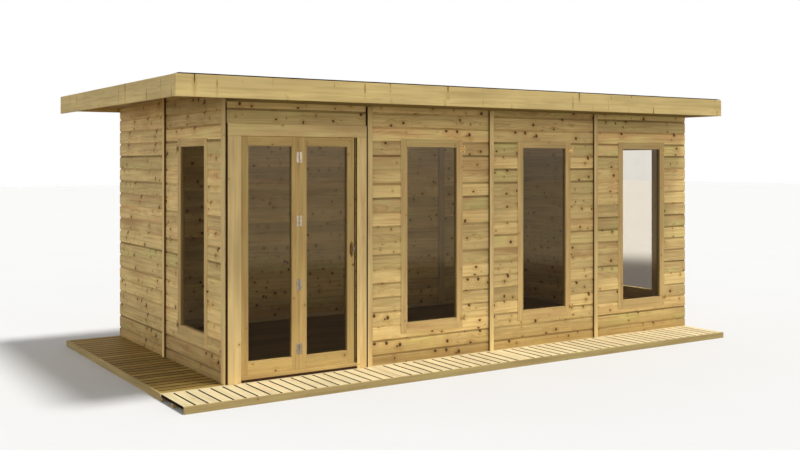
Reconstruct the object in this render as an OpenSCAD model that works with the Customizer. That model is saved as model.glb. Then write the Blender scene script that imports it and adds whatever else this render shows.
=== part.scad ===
// Garden office pod: a flat-roofed timber garden room made of framed, boarded panels,
// with a folding glazed door, tall windows and a low deck along the front and the left.
// Millimetres. X runs right along the front, Y runs back from the front, Z is up from the
// ground. The origin is at ground level, in the middle of the plan of the whole object.

/* [Body] */
// Length of the body along the front
body_length = 4800; // [3600:100:6400]
// Depth of the body, front face to back face
body_depth = 2444; // [1900:2:3400]
// Thickness of the outer boarding
boarding_t = 16; // [12:1:25]
// Thickness of the framing behind the boarding
framing_t = 28; // [28:1:70]

/* [Roof] */
// Height of the underside of the fascia boards above the ground
eaves_height = 2077; // [1960:1:2500]
// Height of the fascia boards
fascia_h = 150; // [120:1:200]
// Thickness of the fascia boards
fascia_t = 20; // [15:1:30]
// How far the roof reaches past the front wall
front_overhang = 420; // [250:5:600]
// How far the roof reaches past the left wall
left_overhang = 529; // [300:1:700]
// Thickness of the roof boarding
roof_board_t = 20; // [16:1:25]
// Fall of the roof boarding from front to back
roof_drop = 67; // [30:1:80]
// Thickness of the roof covering
covering_t = 8; // [4:1:10]
// Depth of the roof joists
joist_h = 70; // [45:1:95]
// Width of the roof joists
joist_w = 44; // [35:1:60]
// Thickness of the soffit board under the front overhang
soffit_t = 12; // [9:1:18]
// How far the back fascia hangs below the roof boarding
back_fascia_drop = 40; // [20:1:60]

/* [Floor and deck] */
// Height of the deck surface above the ground
deck_height = 50; // [44:1:90]
// Thickness of the deck boards
deck_board_t = 20; // [18:1:28]
// Width of the deck along the front
front_deck_w = 462; // [300:1:900]
// Width of the deck along the left side
left_deck_w = 484; // [300:1:900]
// Thickness of the deck's upright edge boards
deck_edge_t = 20; // [16:1:28]
// Width of the deck bearers
deck_bearer_w = 40; // [30:1:60]
// Thickness of the floor boards
floor_board_t = 16; // [12:1:22]
// Height of the floor surface above the deck surface
floor_step = 10; // [0:1:20]
// Width of the floor bearers
floor_bearer_w = 44; // [35:1:75]
// Floor bearers in all
floor_bearers_n = 9; // [7:2:15]

/* [Windows] */
// Width of a window frame
window_w = 610; // [450:5:640]
// Height of a window frame
window_h = 1548; // [900:1:1560]
// Width of the frame's side pieces
window_stile = 62; // [50:1:80]
// Height of the frame's top piece
window_top_rail = 60; // [50:1:90]
// Height of the frame's bottom piece
window_bottom_rail = 82; // [60:1:110]
// Thickness of a window frame
window_t = 40; // [34:1:44]
// How far a window frame stands out from the boarding
window_proud = 4; // [0:1:8]

/* [Door] */
// Width of the doorway, filled by two folding leaves
doorway_w = 953; // [800:1:1000]
// Height of the doorway, sill to head
doorway_h = 1765; // [1600:1:1770]
// Distance from the left corner to the doorway
doorway_left = 114; // [90:1:160]
// Width of a leaf's side pieces
leaf_stile = 64; // [55:1:80]
// Height of a leaf's top piece
leaf_top_rail = 72; // [55:1:90]
// Height of a leaf's bottom piece
leaf_bottom_rail = 98; // [80:1:130]
// Thickness of a leaf
leaf_t = 36; // [30:1:40]
// Height of the sill under the leaves
sill_h = 26; // [20:1:40]
// Thickness of the boards that trim the doorway
door_trim_t = 18; // [12:1:22]
// Height of the trim board over the doorway
head_trim_h = 90; // [70:1:110]

/* [Trim and fittings] */
// Width of the strips that cover the joints between panels
strip_w = 45; // [35:1:60]
// Thickness of those strips
strip_t = 18; // [12:1:22]
// Width of the board that trims the left front corner
corner_trim_w = 60; // [45:1:90]
// Thickness of that board
corner_trim_t = 12; // [8:1:18]
// Thickness of the glass
glass_t = 4; // [3:1:6]
// Clearance between a leaf or a window frame and what it sits in
seat_gap = 0.5; // [0.2:0.1:0.8]

/* [Hidden] */

// Wall panels along the front and the back, and along each side: the nodes are named for these
front_panels = 4;
side_panels = 2;

// Colours, as red, green, blue
pine = [0.72, 0.62, 0.42];
pale_pine = [0.82, 0.73, 0.52];
shaded_pine = [0.60, 0.50, 0.33];
smoke_glass = [0.36, 0.33, 0.29, 0.6];
felt = [0.24, 0.22, 0.21];
bright_steel = [0.78, 0.78, 0.77];
brass = [0.72, 0.56, 0.28];

// Walls
wall_t = boarding_t + framing_t;
front_panel_w = body_length / front_panels;
side_panel_w = (body_depth - wall_t) / side_panels;
floor_top = deck_height + floor_step;
floor_bottom = floor_top - floor_board_t;
boarding_lap = 10;                       // how far the boarding hangs over the floor's edge
boarding_bottom = floor_top - boarding_lap;

// Roof
fascia_top = eaves_height + fascia_h;
roof_left = fascia_t - left_overhang;    // inner face of the left fascia
roof_right = body_length;                // inner face of the right fascia
roof_front = fascia_t - front_overhang;  // inner face of the front fascia
roof_run = body_depth - roof_front;
function board_top(y) = fascia_top - roof_drop * (y - roof_front) / roof_run;
function board_under(y) = board_top(y) - roof_board_t;
function joist_under(y) = board_under(y) - joist_h;
front_wall_top = joist_under(wall_t);
back_wall_top = board_under(body_depth);
back_fascia_bottom = back_wall_top - back_fascia_drop;

// Doorway and windows
sill_bottom = deck_height + 20;
sill_front = door_trim_t;                // the sill's nose is flush with the trim boards
leaf_bottom = sill_bottom + sill_h;
doorway_top = sill_bottom + doorway_h;
doorway_right = doorway_left + doorway_w;
leaf_w = (doorway_w - 3 * seat_gap) / 2;
leaf_h = doorway_top - leaf_bottom - 2 * seat_gap;
window_top = doorway_top - 9;            // window heads are just below the door head
window_bottom = window_top - window_h;
trim_inset = 9;                          // door trim stops this far from the corner and the strip
closing_gap = 13;                        // shadow gap beside the closing edge of the door
trim_right = front_panel_w - strip_w / 2 - trim_inset;
rebate = 8;                              // how far glass reaches into its frame
glass_cut = glass_t + 0.4;               // groove that the glass sits in

// The whole object's box, for the origin
x_min = min(-left_overhang, -left_deck_w);
x_max = body_length + fascia_t;
y_min = -max(front_overhang, front_deck_w);
y_max = body_depth + fascia_t;

WALL_NODES = ["over_door_panel", "door_post_left", "door_post_right", "front_panel_2",
    "front_panel_3", "front_panel_4", "left_panel_front", "left_panel_back",
    "right_panel_front", "right_panel_back", "back_panel_1", "back_panel_2",
    "back_panel_3", "back_panel_4"];
WINDOW_NODES = ["window_frame_front_2", "window_frame_front_3", "window_frame_front_4",
    "window_frame_left", "window_frame_right", "window_glass", "window_hinges"];
DOOR_NODES = ["door_head_trim", "door_side_trims", "door_sill", "door_leaf_left",
    "door_leaf_right", "door_glass", "door_hinges", "door_handle"];
BASE_NODES = ["cover_strips", "deck_front", "deck_left", "deck_edge_boards", "deck_bearers",
    "floor_bearers", "floor"];
ROOF_NODES = ["fascia_front", "fascia_left", "fascia_right", "fascia_back",
    "soffit_front", "soffit_end", "roof_joists", "roof_boarding", "roof_covering"];

// ---------------------------------------------------------------- helpers

// Moves a piece from the body's corner to the object's origin
module on_site() translate([-(x_min + x_max) / 2, -(y_min + y_max) / 2, 0]) children();

// A box between two corners
module block(low, high) translate(low) cube(high - low);

// A solid of one side-on outline, points as [y, z], from x to x + width
module side_on(x, width, outline)
    translate([x, 0, 0]) rotate([90, 0, 90]) linear_extrude(width) polygon(outline);

// ---------------------------------------------------------------- walls

// A framed panel along the front: boarding outside, framing inside, seen as one slab
module front_slab(x, width) {
    block([x, 0, boarding_bottom], [x + width, boarding_t, front_wall_top]);
    block([x, boarding_t, floor_top], [x + width, wall_t, front_wall_top]);
}

// The hole for a window in the front wall, centred on x
module window_hole(x)
    block([x - window_w / 2 - seat_gap, -1, window_bottom - seat_gap],
        [x + window_w / 2 + seat_gap, wall_t + 1, window_top + seat_gap]);

function front_window_x(panel) = (panel - 0.5) * front_panel_w;

module front_panel(panel) color(pine) on_site() difference() {
    front_slab((panel - 1) * front_panel_w, front_panel_w);
    window_hole(front_window_x(panel));
}

module door_post_left() color(pine) on_site() front_slab(0, doorway_left);

// Beside the closing edge of the door the boarding stops short, and the framing is its stop
module door_post_right() color(pine) on_site() difference() {
    front_slab(doorway_right, front_panel_w - doorway_right);
    block([doorway_right - 1, -1, 0], [doorway_right + closing_gap, boarding_t, front_wall_top + 1]);
}

module over_door_panel() color(pine) on_site() {
    block([doorway_left, 0, doorway_top], [doorway_right, wall_t, front_wall_top]);
    block([doorway_left, 0, doorway_top], [doorway_right + closing_gap, boarding_t, front_wall_top]);
}

// A side panel's outline, its top cut to the fall of the roof
module side_outline(x, thickness, from, to, bottom)
    side_on(x, thickness, [[from, bottom], [to, bottom], [to, board_under(to)],
        [from, board_under(from)]]);

// The outer face of a side panel is at x = 0 on the left and x = body_length on the right
module side_slab(right, from, to) {
    outer_x = right ? body_length - boarding_t : 0;
    inner_x = right ? body_length - wall_t : boarding_t;
    side_outline(outer_x, boarding_t, from, to, boarding_bottom);
    side_outline(inner_x, framing_t, from, to, floor_top);
}

function side_panel_start(panel) = wall_t + (panel - 1) * side_panel_w;
side_window_y = side_panel_start(1) + side_panel_w / 2;

module side_window_hole(right) {
    x = right ? body_length - wall_t - 1 : -1;
    block([x, side_window_y - window_w / 2 - seat_gap, window_bottom - seat_gap],
        [x + wall_t + 2, side_window_y + window_w / 2 + seat_gap, window_top + seat_gap]);
}

module side_panel(right, panel) color(pine) on_site() difference() {
    side_slab(right, side_panel_start(panel), side_panel_start(panel + 1));
    if (panel == 1) side_window_hole(right);
}

// The back wall stands between the side walls
module back_panel(panel) color(pine) on_site() {
    from = max((panel - 1) * front_panel_w, wall_t);
    to = min(panel * front_panel_w, body_length - wall_t);
    block([from, body_depth - boarding_t, boarding_bottom], [to, body_depth, back_wall_top]);
    block([from, body_depth - wall_t, floor_top], [to, body_depth - boarding_t, back_wall_top]);
}

// ---------------------------------------------------------------- windows

// A glazed frame, centred on x = 0, its outer face at y = 0 and its foot at z = 0
module glazed_frame(width, height, thickness, stile, top_rail, bottom_rail) difference() {
    block([-width / 2, 0, 0], [width / 2, thickness, height]);
    block([stile - width / 2, -1, bottom_rail], [width / 2 - stile, thickness + 1, height - top_rail]);
    frame_pane(width, height, thickness, stile, top_rail, bottom_rail, glass_cut);
}

// The pane of such a frame, or with the groove's thickness the groove that holds it
module frame_pane(width, height, thickness, stile, top_rail, bottom_rail, pane_t)
    block([stile - rebate - width / 2, (thickness - pane_t) / 2, bottom_rail - rebate],
        [width / 2 - stile + rebate, (thickness + pane_t) / 2, height - top_rail + rebate]);

module window_frame() glazed_frame(window_w, window_h, window_t, window_stile,
    window_top_rail, window_bottom_rail);

module window_pane() frame_pane(window_w, window_h, window_t, window_stile,
    window_top_rail, window_bottom_rail, glass_t);

// Children drawn round x = 0 on a front wall, moved to a window place
module at_front_window(panel)
    translate([front_window_x(panel), -window_proud, window_bottom]) children();

// The left window is the mirror image, so that its hinges are at the back like the right one's
module at_left_window()
    translate([-window_proud, side_window_y, window_bottom]) rotate([0, 0, -90])
        mirror([1, 0, 0]) children();

module at_right_window()
    translate([body_length + window_proud, side_window_y, window_bottom]) rotate([0, 0, 90])
        children();

module at_every_window() {
    for (panel = [2:front_panels]) at_front_window(panel) children();
    at_left_window() children();
    at_right_window() children();
}

module window_glass() color(smoke_glass) on_site() at_every_window() window_pane();

// A flat ornamental hinge across the edge of a frame: two leaves and a knuckle
hinge_reach = 22;
hinge_tall = 58;
hinge_waist = 18;
hinge_plate_t = 2;
knuckle_r = 4;
hinge_inset = 76;

module window_hinge(z) translate([window_w / 2, 0, z]) {
    for (side = [-1, 1]) translate([0, side < 0 ? 0 : window_proud, 0])
        block([min(0, side * hinge_reach), -hinge_plate_t, -hinge_tall / 2],
            [max(0, side * hinge_reach), 0, hinge_tall / 2]);
    translate([0, -knuckle_r, -hinge_waist / 2]) cylinder(r = knuckle_r, h = hinge_waist, $fn = 24);
    block([0, -knuckle_r, -hinge_waist / 2], [knuckle_r, window_proud, hinge_waist / 2]);
}

module window_hinges() color(brass) on_site() at_every_window()
    for (z = [hinge_inset, window_h - hinge_inset]) window_hinge(z);

// ---------------------------------------------------------------- door

module at_leaf(number)
    translate([doorway_left + seat_gap * number + leaf_w * (number - 0.5), 0,
        leaf_bottom + seat_gap]) children();

module leaf_frame() glazed_frame(leaf_w, leaf_h, leaf_t, leaf_stile, leaf_top_rail,
    leaf_bottom_rail);

module door_leaf(number) color(pine) on_site() at_leaf(number) leaf_frame();

module door_glass() color(smoke_glass) on_site() for (number = [1, 2]) at_leaf(number)
    frame_pane(leaf_w, leaf_h, leaf_t, leaf_stile, leaf_top_rail, leaf_bottom_rail, glass_t);

module door_head_trim() color(pine) on_site()
    block([trim_inset, -door_trim_t, doorway_top], [trim_right, 0, doorway_top + head_trim_h]);

module door_side_trims() color(pine) on_site() {
    block([trim_inset, -door_trim_t, deck_height], [doorway_left, 0, doorway_top]);
    block([doorway_right + closing_gap, -door_trim_t, deck_height], [trim_right, 0, doorway_top]);
}

module door_sill() color(pale_pine) on_site() {
    block([doorway_left, -sill_front, sill_bottom], [doorway_right, wall_t, leaf_bottom]);
    block([doorway_left, -sill_front, sill_bottom],
        [doorway_right + closing_gap, boarding_t, leaf_bottom]);
}

// Butt hinges that join the two leaves, with their plates on the outer face
door_hinge_w = 46;
door_hinge_h = 80;
door_hinges_n = 4;
door_hinge_first = 156;
door_hinge_last = leaf_h - 152;

module door_hinge() {
    block([-door_hinge_w / 2, -hinge_plate_t, -door_hinge_h / 2],
        [door_hinge_w / 2, 0, door_hinge_h / 2]);
    translate([0, -hinge_plate_t, -door_hinge_h / 2])
        cylinder(r = knuckle_r, h = door_hinge_h, $fn = 24);
}

module door_hinges() color(bright_steel) on_site() {
    step = (door_hinge_last - door_hinge_first) / (door_hinges_n - 1);
    for (i = [0:door_hinges_n - 1])
        translate([doorway_left + leaf_w + 1.5 * seat_gap, 0,
            leaf_bottom + door_hinge_first + i * step]) difference() {
                door_hinge();
                translate([0, leaf_t / 2, 0]) cube([2 * knuckle_r + 2, leaf_t, leaf_h], center = true);
            }
}

// Bow handle on a backplate, on the right stile of the right leaf, with a keyhole cover below
handle_height = 973;
handle_from_edge = 25;                   // middle of the plate to the edge of the leaf
plate_w = 40;
plate_h = 124;
plate_t = 3;
bow_h = 74;
bow_r = 5;
bow_out = 33;
key_cover_r = 9;
key_cover_t = 3;
key_cover_drop = 120;
key_cover_from_edge = 13;

module door_handle() color(brass) on_site() translate([doorway_right - seat_gap, 0, handle_height]) {
    translate([-handle_from_edge, 0, 0]) {
        block([-plate_w / 2, -plate_t, -plate_h / 2], [plate_w / 2, 0, plate_h / 2]);
        for (side = [-1, 1]) translate([0, 0, side * (bow_h / 2 - bow_r)]) rotate([90, 0, 0])
            cylinder(r = bow_r, h = bow_out - bow_r, $fn = 24);
        translate([0, bow_r - bow_out, -bow_h / 2]) cylinder(r = bow_r, h = bow_h, $fn = 24);
    }
    translate([-key_cover_from_edge, 0, -key_cover_drop]) rotate([90, 0, 0])
        cylinder(r = key_cover_r, h = key_cover_t, $fn = 32);
}

// ---------------------------------------------------------------- trim

// A board upright on the left wall, its top cut to the fall of the roof
module left_upright(from, to, thickness)
    side_on(-thickness, thickness, [[from, deck_height], [to, deck_height],
        [to, board_under(to)], [from, board_under(from)]]);

// Strips over the joints between panels, on all four sides, and the left front corner's board
module cover_strips() color(pine) on_site() {
    left_upright(0, corner_trim_w, corner_trim_t);
    for (i = [1:front_panels - 1]) {
        x = i * front_panel_w;
        block([x - strip_w / 2, -strip_t, deck_height], [x + strip_w / 2, 0, eaves_height]);
        block([x - strip_w / 2, body_depth, boarding_bottom],
            [x + strip_w / 2, body_depth + strip_t, back_fascia_bottom]);
    }
    for (i = [2:side_panels]) {
        y = side_panel_start(i);
        left_upright(y - strip_w / 2, y + strip_w / 2, strip_t);
        block([body_length, y - strip_w / 2, boarding_bottom],
            [body_length + strip_t, y + strip_w / 2, eaves_height]);
    }
}

// ---------------------------------------------------------------- deck and floor

module deck_front() color(pale_pine) on_site()
    block([-left_deck_w, deck_edge_t - front_deck_w, deck_height - deck_board_t],
        [body_length, 0, deck_height]);

module deck_left() color(shaded_pine) on_site()
    block([deck_edge_t - left_deck_w, 0, deck_height - deck_board_t], [0, body_depth, deck_height]);

// Boards on edge along the front of the front deck and the left of the left deck
module deck_edge_boards() color(pale_pine) on_site() {
    block([-left_deck_w, -front_deck_w, 0], [body_length, deck_edge_t - front_deck_w, deck_height]);
    block([-left_deck_w, seat_gap, 0], [deck_edge_t - left_deck_w, body_depth, deck_height]);
}

module deck_bearers() color(shaded_pine) on_site() {
    top = deck_height - deck_board_t;
    for (y = [-deck_bearer_w, -(front_deck_w + deck_bearer_w) / 2])
        block([-left_deck_w, y, 0], [body_length, y + deck_bearer_w, top]);
    for (x = [-deck_bearer_w, -(left_deck_w + deck_bearer_w) / 2])
        block([x, seat_gap, 0], [x + deck_bearer_w, body_depth, top]);
}

module floor_bearers() color(shaded_pine) on_site() {
    first = boarding_t;
    step = (body_length - 2 * boarding_t - floor_bearer_w) / (floor_bearers_n - 1);
    for (i = [0:floor_bearers_n - 1])
        block([first + i * step, boarding_t, 0],
            [first + i * step + floor_bearer_w, body_depth - boarding_t, floor_bottom]);
}

module floor_boards() color(shaded_pine) on_site()
    block([boarding_t, boarding_t, floor_bottom],
        [body_length - boarding_t, body_depth - boarding_t, floor_top]);

// ---------------------------------------------------------------- roof

module fascia_front() color(pale_pine) on_site()
    block([-left_overhang, -front_overhang, eaves_height],
        [body_length + fascia_t, roof_front, fascia_top]);

module fascia_left() color(pine) on_site()
    block([-left_overhang, roof_front, eaves_height], [roof_left, body_depth + fascia_t, fascia_top]);

module fascia_right() color(pine) on_site()
    block([roof_right, roof_front, eaves_height],
        [roof_right + fascia_t, body_depth + fascia_t, fascia_top]);

module fascia_back() color(pine) on_site()
    block([roof_left, body_depth, back_fascia_bottom],
        [roof_right, body_depth + fascia_t, board_top(body_depth)]);

// The closed underside of the front overhang, and the board that closes its left end
module soffit_front() color(pine) on_site()
    block([0, roof_front, eaves_height], [roof_right, 0, eaves_height + soffit_t]);

module soffit_end() color(pine) on_site()
    side_on(0, fascia_t, [[roof_front, eaves_height + soffit_t], [0, eaves_height + soffit_t],
        [0, board_under(0)], [roof_front, board_under(roof_front)]]);

// Joists lie on the front wall and meet the back wall
module roof_joists() color(shaded_pine) on_site() {
    bays = 2 * front_panels;
    to = body_depth - wall_t;
    for (i = [1:bays - 1])
        side_on(i * body_length / bays - joist_w / 2, joist_w,
            [[roof_front, joist_under(roof_front)], [to, joist_under(to)],
            [to, board_under(to)], [roof_front, board_under(roof_front)]]);
}

module roof_boarding() color(shaded_pine) on_site()
    side_on(roof_left, roof_right - roof_left,
        [[roof_front, board_under(roof_front)], [body_depth, board_under(body_depth)],
        [body_depth, board_top(body_depth)], [roof_front, board_top(roof_front)]]);

// The covering lies over the front fascia's top edge and the back fascia
module roof_covering() color(felt) on_site()
    side_on(roof_left, roof_right - roof_left,
        [[-front_overhang, fascia_top], [roof_front, fascia_top],
        [body_depth, board_top(body_depth)],
        [body_depth + fascia_t, board_top(body_depth)],
        [body_depth + fascia_t, board_top(body_depth) + covering_t],
        [body_depth, board_top(body_depth) + covering_t],
        [roof_front, fascia_top + covering_t], [-front_overhang, fascia_top + covering_t]]);

// ---------------------------------------------------------------- the nodes

over_door_panel();
door_post_left();
door_post_right();
front_panel(2);  // front_panel_2
front_panel(3);  // front_panel_3
front_panel(4);  // front_panel_4
side_panel(false, 1);  // left_panel_front
side_panel(false, 2);  // left_panel_back
side_panel(true, 1);  // right_panel_front
side_panel(true, 2);  // right_panel_back
back_panel(1);  // back_panel_1
back_panel(2);  // back_panel_2
back_panel(3);  // back_panel_3
back_panel(4);  // back_panel_4
color(pine) on_site() at_front_window(2) window_frame();  // window_frame_front_2
color(pine) on_site() at_front_window(3) window_frame();  // window_frame_front_3
color(pine) on_site() at_front_window(4) window_frame();  // window_frame_front_4
color(pine) on_site() at_left_window() window_frame();  // window_frame_left
color(pine) on_site() at_right_window() window_frame();  // window_frame_right
window_glass();
window_hinges();
door_head_trim();
door_side_trims();
door_sill();
door_leaf(1);  // door_leaf_left
door_leaf(2);  // door_leaf_right
door_glass();
door_hinges();
door_handle();
cover_strips();
deck_front();
deck_left();
deck_edge_boards();
deck_bearers();
floor_bearers();
floor_boards();  // floor
fascia_front();
fascia_left();
fascia_right();
fascia_back();
soffit_front();
soffit_end();
roof_joists();
roof_boarding();
roof_covering();
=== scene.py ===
# %% [markdown]
# # A garden office pod in pressure-treated pine
# The pod is a flat-roofed garden room. Its walls are framed panels covered with shiplap
# boards, and it has a folding glazed door, five tall windows and a low slatted deck.
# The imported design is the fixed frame: every size below is measured from it, in metres,
# with X along the front, Y towards the back and Z up.

import math
import random

import bmesh
import bpy
from mathutils import Matrix, Vector


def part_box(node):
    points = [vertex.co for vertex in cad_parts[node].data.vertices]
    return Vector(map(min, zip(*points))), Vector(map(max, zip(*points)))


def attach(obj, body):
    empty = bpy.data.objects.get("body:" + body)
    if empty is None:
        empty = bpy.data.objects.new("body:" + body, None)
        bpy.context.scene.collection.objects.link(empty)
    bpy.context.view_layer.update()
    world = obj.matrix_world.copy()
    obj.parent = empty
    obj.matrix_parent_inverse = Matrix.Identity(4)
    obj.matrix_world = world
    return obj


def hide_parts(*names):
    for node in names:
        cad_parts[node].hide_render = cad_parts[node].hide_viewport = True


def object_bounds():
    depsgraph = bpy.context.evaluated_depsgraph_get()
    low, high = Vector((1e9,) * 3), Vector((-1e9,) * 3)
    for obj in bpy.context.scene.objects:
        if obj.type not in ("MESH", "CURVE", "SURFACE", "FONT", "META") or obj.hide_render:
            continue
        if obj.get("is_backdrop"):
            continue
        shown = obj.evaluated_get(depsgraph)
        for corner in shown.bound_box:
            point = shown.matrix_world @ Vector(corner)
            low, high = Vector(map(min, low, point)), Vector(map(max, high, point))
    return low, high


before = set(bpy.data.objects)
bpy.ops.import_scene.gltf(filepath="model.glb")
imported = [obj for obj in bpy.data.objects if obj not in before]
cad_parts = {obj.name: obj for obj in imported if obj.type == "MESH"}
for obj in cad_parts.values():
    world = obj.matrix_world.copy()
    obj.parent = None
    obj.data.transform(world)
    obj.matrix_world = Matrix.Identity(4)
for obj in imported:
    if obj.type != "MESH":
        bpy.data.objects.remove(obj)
cad_low, cad_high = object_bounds()
print("nodes", len(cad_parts), "box", [round(v, 3) for v in (cad_high - cad_low)])

# %% [markdown]
# ## Where things are
# The corner of the body, where the front wall meets the left wall, is the point that
# most sizes are read from.

# %% Measure the body
BODY_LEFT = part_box("door_post_left")[0].x
BODY_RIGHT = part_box("front_panel_4")[1].x
BODY_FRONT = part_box("front_panel_2")[0].y
BODY_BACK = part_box("back_panel_1")[1].y
WALL_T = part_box("front_panel_2")[1].y - BODY_FRONT
BOARDING_T = 0.016
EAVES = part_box("fascia_front")[0].z
DECK_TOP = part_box("deck_front")[1].z
print("body", round(BODY_RIGHT - BODY_LEFT, 3), "by", round(BODY_BACK - BODY_FRONT, 3))

# %% [markdown]
# ## Small helpers
# New objects go in the scene, a finished bmesh becomes a mesh, and a node's separate solids
# are found one by one.

# %% Helpers for objects, meshes and solids
def linked(name, data):
    """A new object in the scene."""
    made = bpy.data.objects.new(name, data)
    bpy.context.scene.collection.objects.link(made)
    return made


def mesh_from(solid, name):
    """A finished bmesh as a mesh."""
    mesh = bpy.data.meshes.new(name)
    solid.to_mesh(mesh)
    solid.free()
    return mesh


def between(ends, share):
    """What lies part of the way from the first end to the second."""
    return ends[0] + (ends[1] - ends[0]) * share


def long_axis(low, high):
    """The axis that a flat-lying timber runs along."""
    return "X" if high.x - low.x > high.y - low.y else "Y"


def islands(node):
    """The boxes of the separate solids in a node."""
    solid = bmesh.new()
    solid.from_mesh(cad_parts[node].data)
    bmesh.ops.remove_doubles(solid, verts=solid.verts, dist=1e-6)
    left, found = set(solid.verts), []
    while left:
        todo, group = [left.pop()], []
        while todo:
            v = todo.pop()
            group.append(v.co.copy())
            near = {e.other_vert(v) for e in v.link_edges} & left
            left -= near
            todo += near
        found.append((Vector(map(min, *group)), Vector(map(max, *group))))
    solid.free()
    return sorted(found, key=lambda b: tuple(round(c, 4) for c in b[0]))


print("cover strips", len(islands("cover_strips")))

# %% [markdown]
# ## Camera
# The pod is seen from its left front corner at eye height. The camera is level, so that
# upright posts stay upright, and the lens is shifted down to take in the deck.

# %% Camera
camera = linked("camera", bpy.data.cameras.new("camera"))
camera.data.sensor_width = 36
camera.data.lens = 45.15
camera.data.shift_y = -0.0794
camera.location = (BODY_LEFT - 2.855, BODY_FRONT - 6.705, 1.65)
camera.rotation_euler = (math.radians(90), 0, math.radians(-32.93))
bpy.context.scene.camera = camera
print("camera at", [round(v, 2) for v in camera.location])

# %% [markdown]
# ## Nodes made by one small helper
# Every material and every Geometry Nodes tree is built from nodes in code. `place` adds a
# node, sets its own settings and feeds its inputs, and short methods stand for the usual ones.

# %% Helpers that place nodes
class Nodes:
    """Places nodes in one tree. What feeds a node is a plain value or another node's socket."""

    def __init__(self, tree):
        self.tree = tree

    def place(self, kind, feeds=(), **settings):
        """One node, with its inputs fed in order or by name."""
        node = self.tree.nodes.new(kind)
        for name, value in settings.items():
            setattr(node, name, value)
        for key, value in feeds.items() if isinstance(feeds, dict) else enumerate(feeds):
            self.feed(node.inputs[key], value)
        return node

    def feed(self, socket, value):
        if isinstance(value, bpy.types.NodeSocket):
            self.tree.links.new(value, socket)
        else:
            socket.default_value = value

    def math(self, operation, *feeds):
        return self.place("ShaderNodeMath", feeds, operation=operation).outputs[0]

    def times(self, a, b):
        return self.math("MULTIPLY", a, b)

    def plus(self, a, b):
        return self.math("ADD", a, b)

    def minus(self, a, b):
        return self.math("SUBTRACT", a, b)

    def scaled(self, a, factor, offset):
        return self.math("MULTIPLY_ADD", a, factor, offset)

    def length(self, a, b):
        """The long side of a right-angled triangle."""
        return self.math("SQRT", self.plus(self.times(a, a), self.times(b, b)))

    def vector(self, operation, *feeds):
        return self.place("ShaderNodeVectorMath", feeds, operation=operation).outputs[0]

    def xyz(self, vector):
        return self.place("ShaderNodeSeparateXYZ", [vector]).outputs

    def packed(self, *feeds):
        """Numbers as one vector."""
        return self.place("ShaderNodeCombineXYZ", feeds).outputs[0]

    def rgb(self, colour):
        return self.place("ShaderNodeSeparateColor", [colour]).outputs

    def noise(self, where, scale, detail, stretch=None, roughness=0.5):
        if stretch:
            where = self.vector("MULTIPLY", where, stretch)
        return self.place("ShaderNodeTexNoise", {"Vector": where, "Scale": scale, "Detail": detail,
            "Roughness": roughness}).outputs[0]

    def cells(self, where, scale, randomness=1.0):
        return self.place("ShaderNodeTexVoronoi", {"Vector": where, "Scale": scale,
            "Randomness": randomness}, voronoi_dimensions="3D").outputs

    def ramp(self, value, low, high, start=0.0, end=1.0):
        """A smooth step between low and high."""
        return self.place("ShaderNodeMapRange", {"Value": value, "From Min": low, "From Max": high,
            "To Min": start, "To Max": end}, interpolation_type="SMOOTHSTEP").outputs[0]

    def blend(self, share, a, b, how="MIX"):
        """Two colours mixed by a share."""
        node = self.place("ShaderNodeMix", {"Factor": share}, data_type="RGBA", blend_type=how)
        for socket, colour in ((node.inputs[6], a), (node.inputs[7], b)):
            self.feed(socket, (*colour, 1.0) if isinstance(colour, tuple) else colour)
        return node.outputs[2]

    def here(self):
        """Object coordinates."""
        return self.place("ShaderNodeTexCoord").outputs["Object"]

    def named(self, label, kind="FLOAT"):
        """A named attribute, in a geometry tree."""
        return self.place("GeometryNodeInputNamedAttribute", {"Name": label},
            data_type=kind).outputs[0]

    def skin(self, inputs):
        """A Principled surface."""
        return self.place("ShaderNodeBsdfPrincipled", inputs).outputs[0]

    def bump(self, height, strength, distance):
        return self.place("ShaderNodeBump", {"Height": height, "Strength": strength,
            "Distance": distance}).outputs["Normal"]


def new_group(name, kind, inputs, outputs):
    """An empty node group with named sockets: its nodes, what it is given and what it gives."""
    tree = bpy.data.node_groups.new(name, kind)
    for way, sockets in (("INPUT", inputs), ("OUTPUT", outputs)):
        for label, socket_kind, *value in sockets:
            socket = tree.interface.new_socket(label, in_out=way,
                socket_type="NodeSocket" + socket_kind)
            if value:
                socket.default_value = value[0]
    return (Nodes(tree), tree.nodes.new("NodeGroupInput").outputs,
        tree.nodes.new("NodeGroupOutput").inputs)


def new_material(name, surface):
    """A material whose surface is what a function of its nodes gives."""
    material = bpy.data.materials.new(name)
    material.use_nodes = True
    n = Nodes(material.node_tree)
    n.tree.nodes.clear()
    n.place("ShaderNodeOutputMaterial", [surface(n)])
    return material


print("node helpers ready")

# %% [markdown]
# ## Pine, as one shader group
# Treated pine is pale yellow with darker growth rings, fine fibres, green and pink casts
# from the treatment, and brown knots that the grain flows round. Each board carries two
# attributes: `grain`, its own coordinates in metres along, through and across the board,
# and `tone`, a number of its own. The group turns them into colour, roughness and height,
# so that no two boards look alike, whichever way they lie.
#
# The knots come from Voronoi cells. Near a knot the coordinate across the board is pulled
# towards it, which spreads the rings round it as in real wood.

# %% Pine grain group
KNOT_CORE, KNOT_REACH = 0.65, 1.2           # where a knot begins and ends to fade, in its radii
PIN_SHARE = 2.7                             # cells for pin knots, to each cell for a knot
PITH_SIDE, PITH_DEPTH = 0.14, 0.05          # how far the pith may lie beside and behind a board
EULER = 2.718
GREEN, PINK = (0.80, 1.0, 0.80), (1.0, 0.80, 0.78)
# RESIN tints the wood round a knot; the second colour is painted shade deep in the scoop of each
# joint
RESIN, SCOOP_SHADE = (0.78, 0.62, 0.42), (0.30, 0.22, 0.13)


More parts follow.
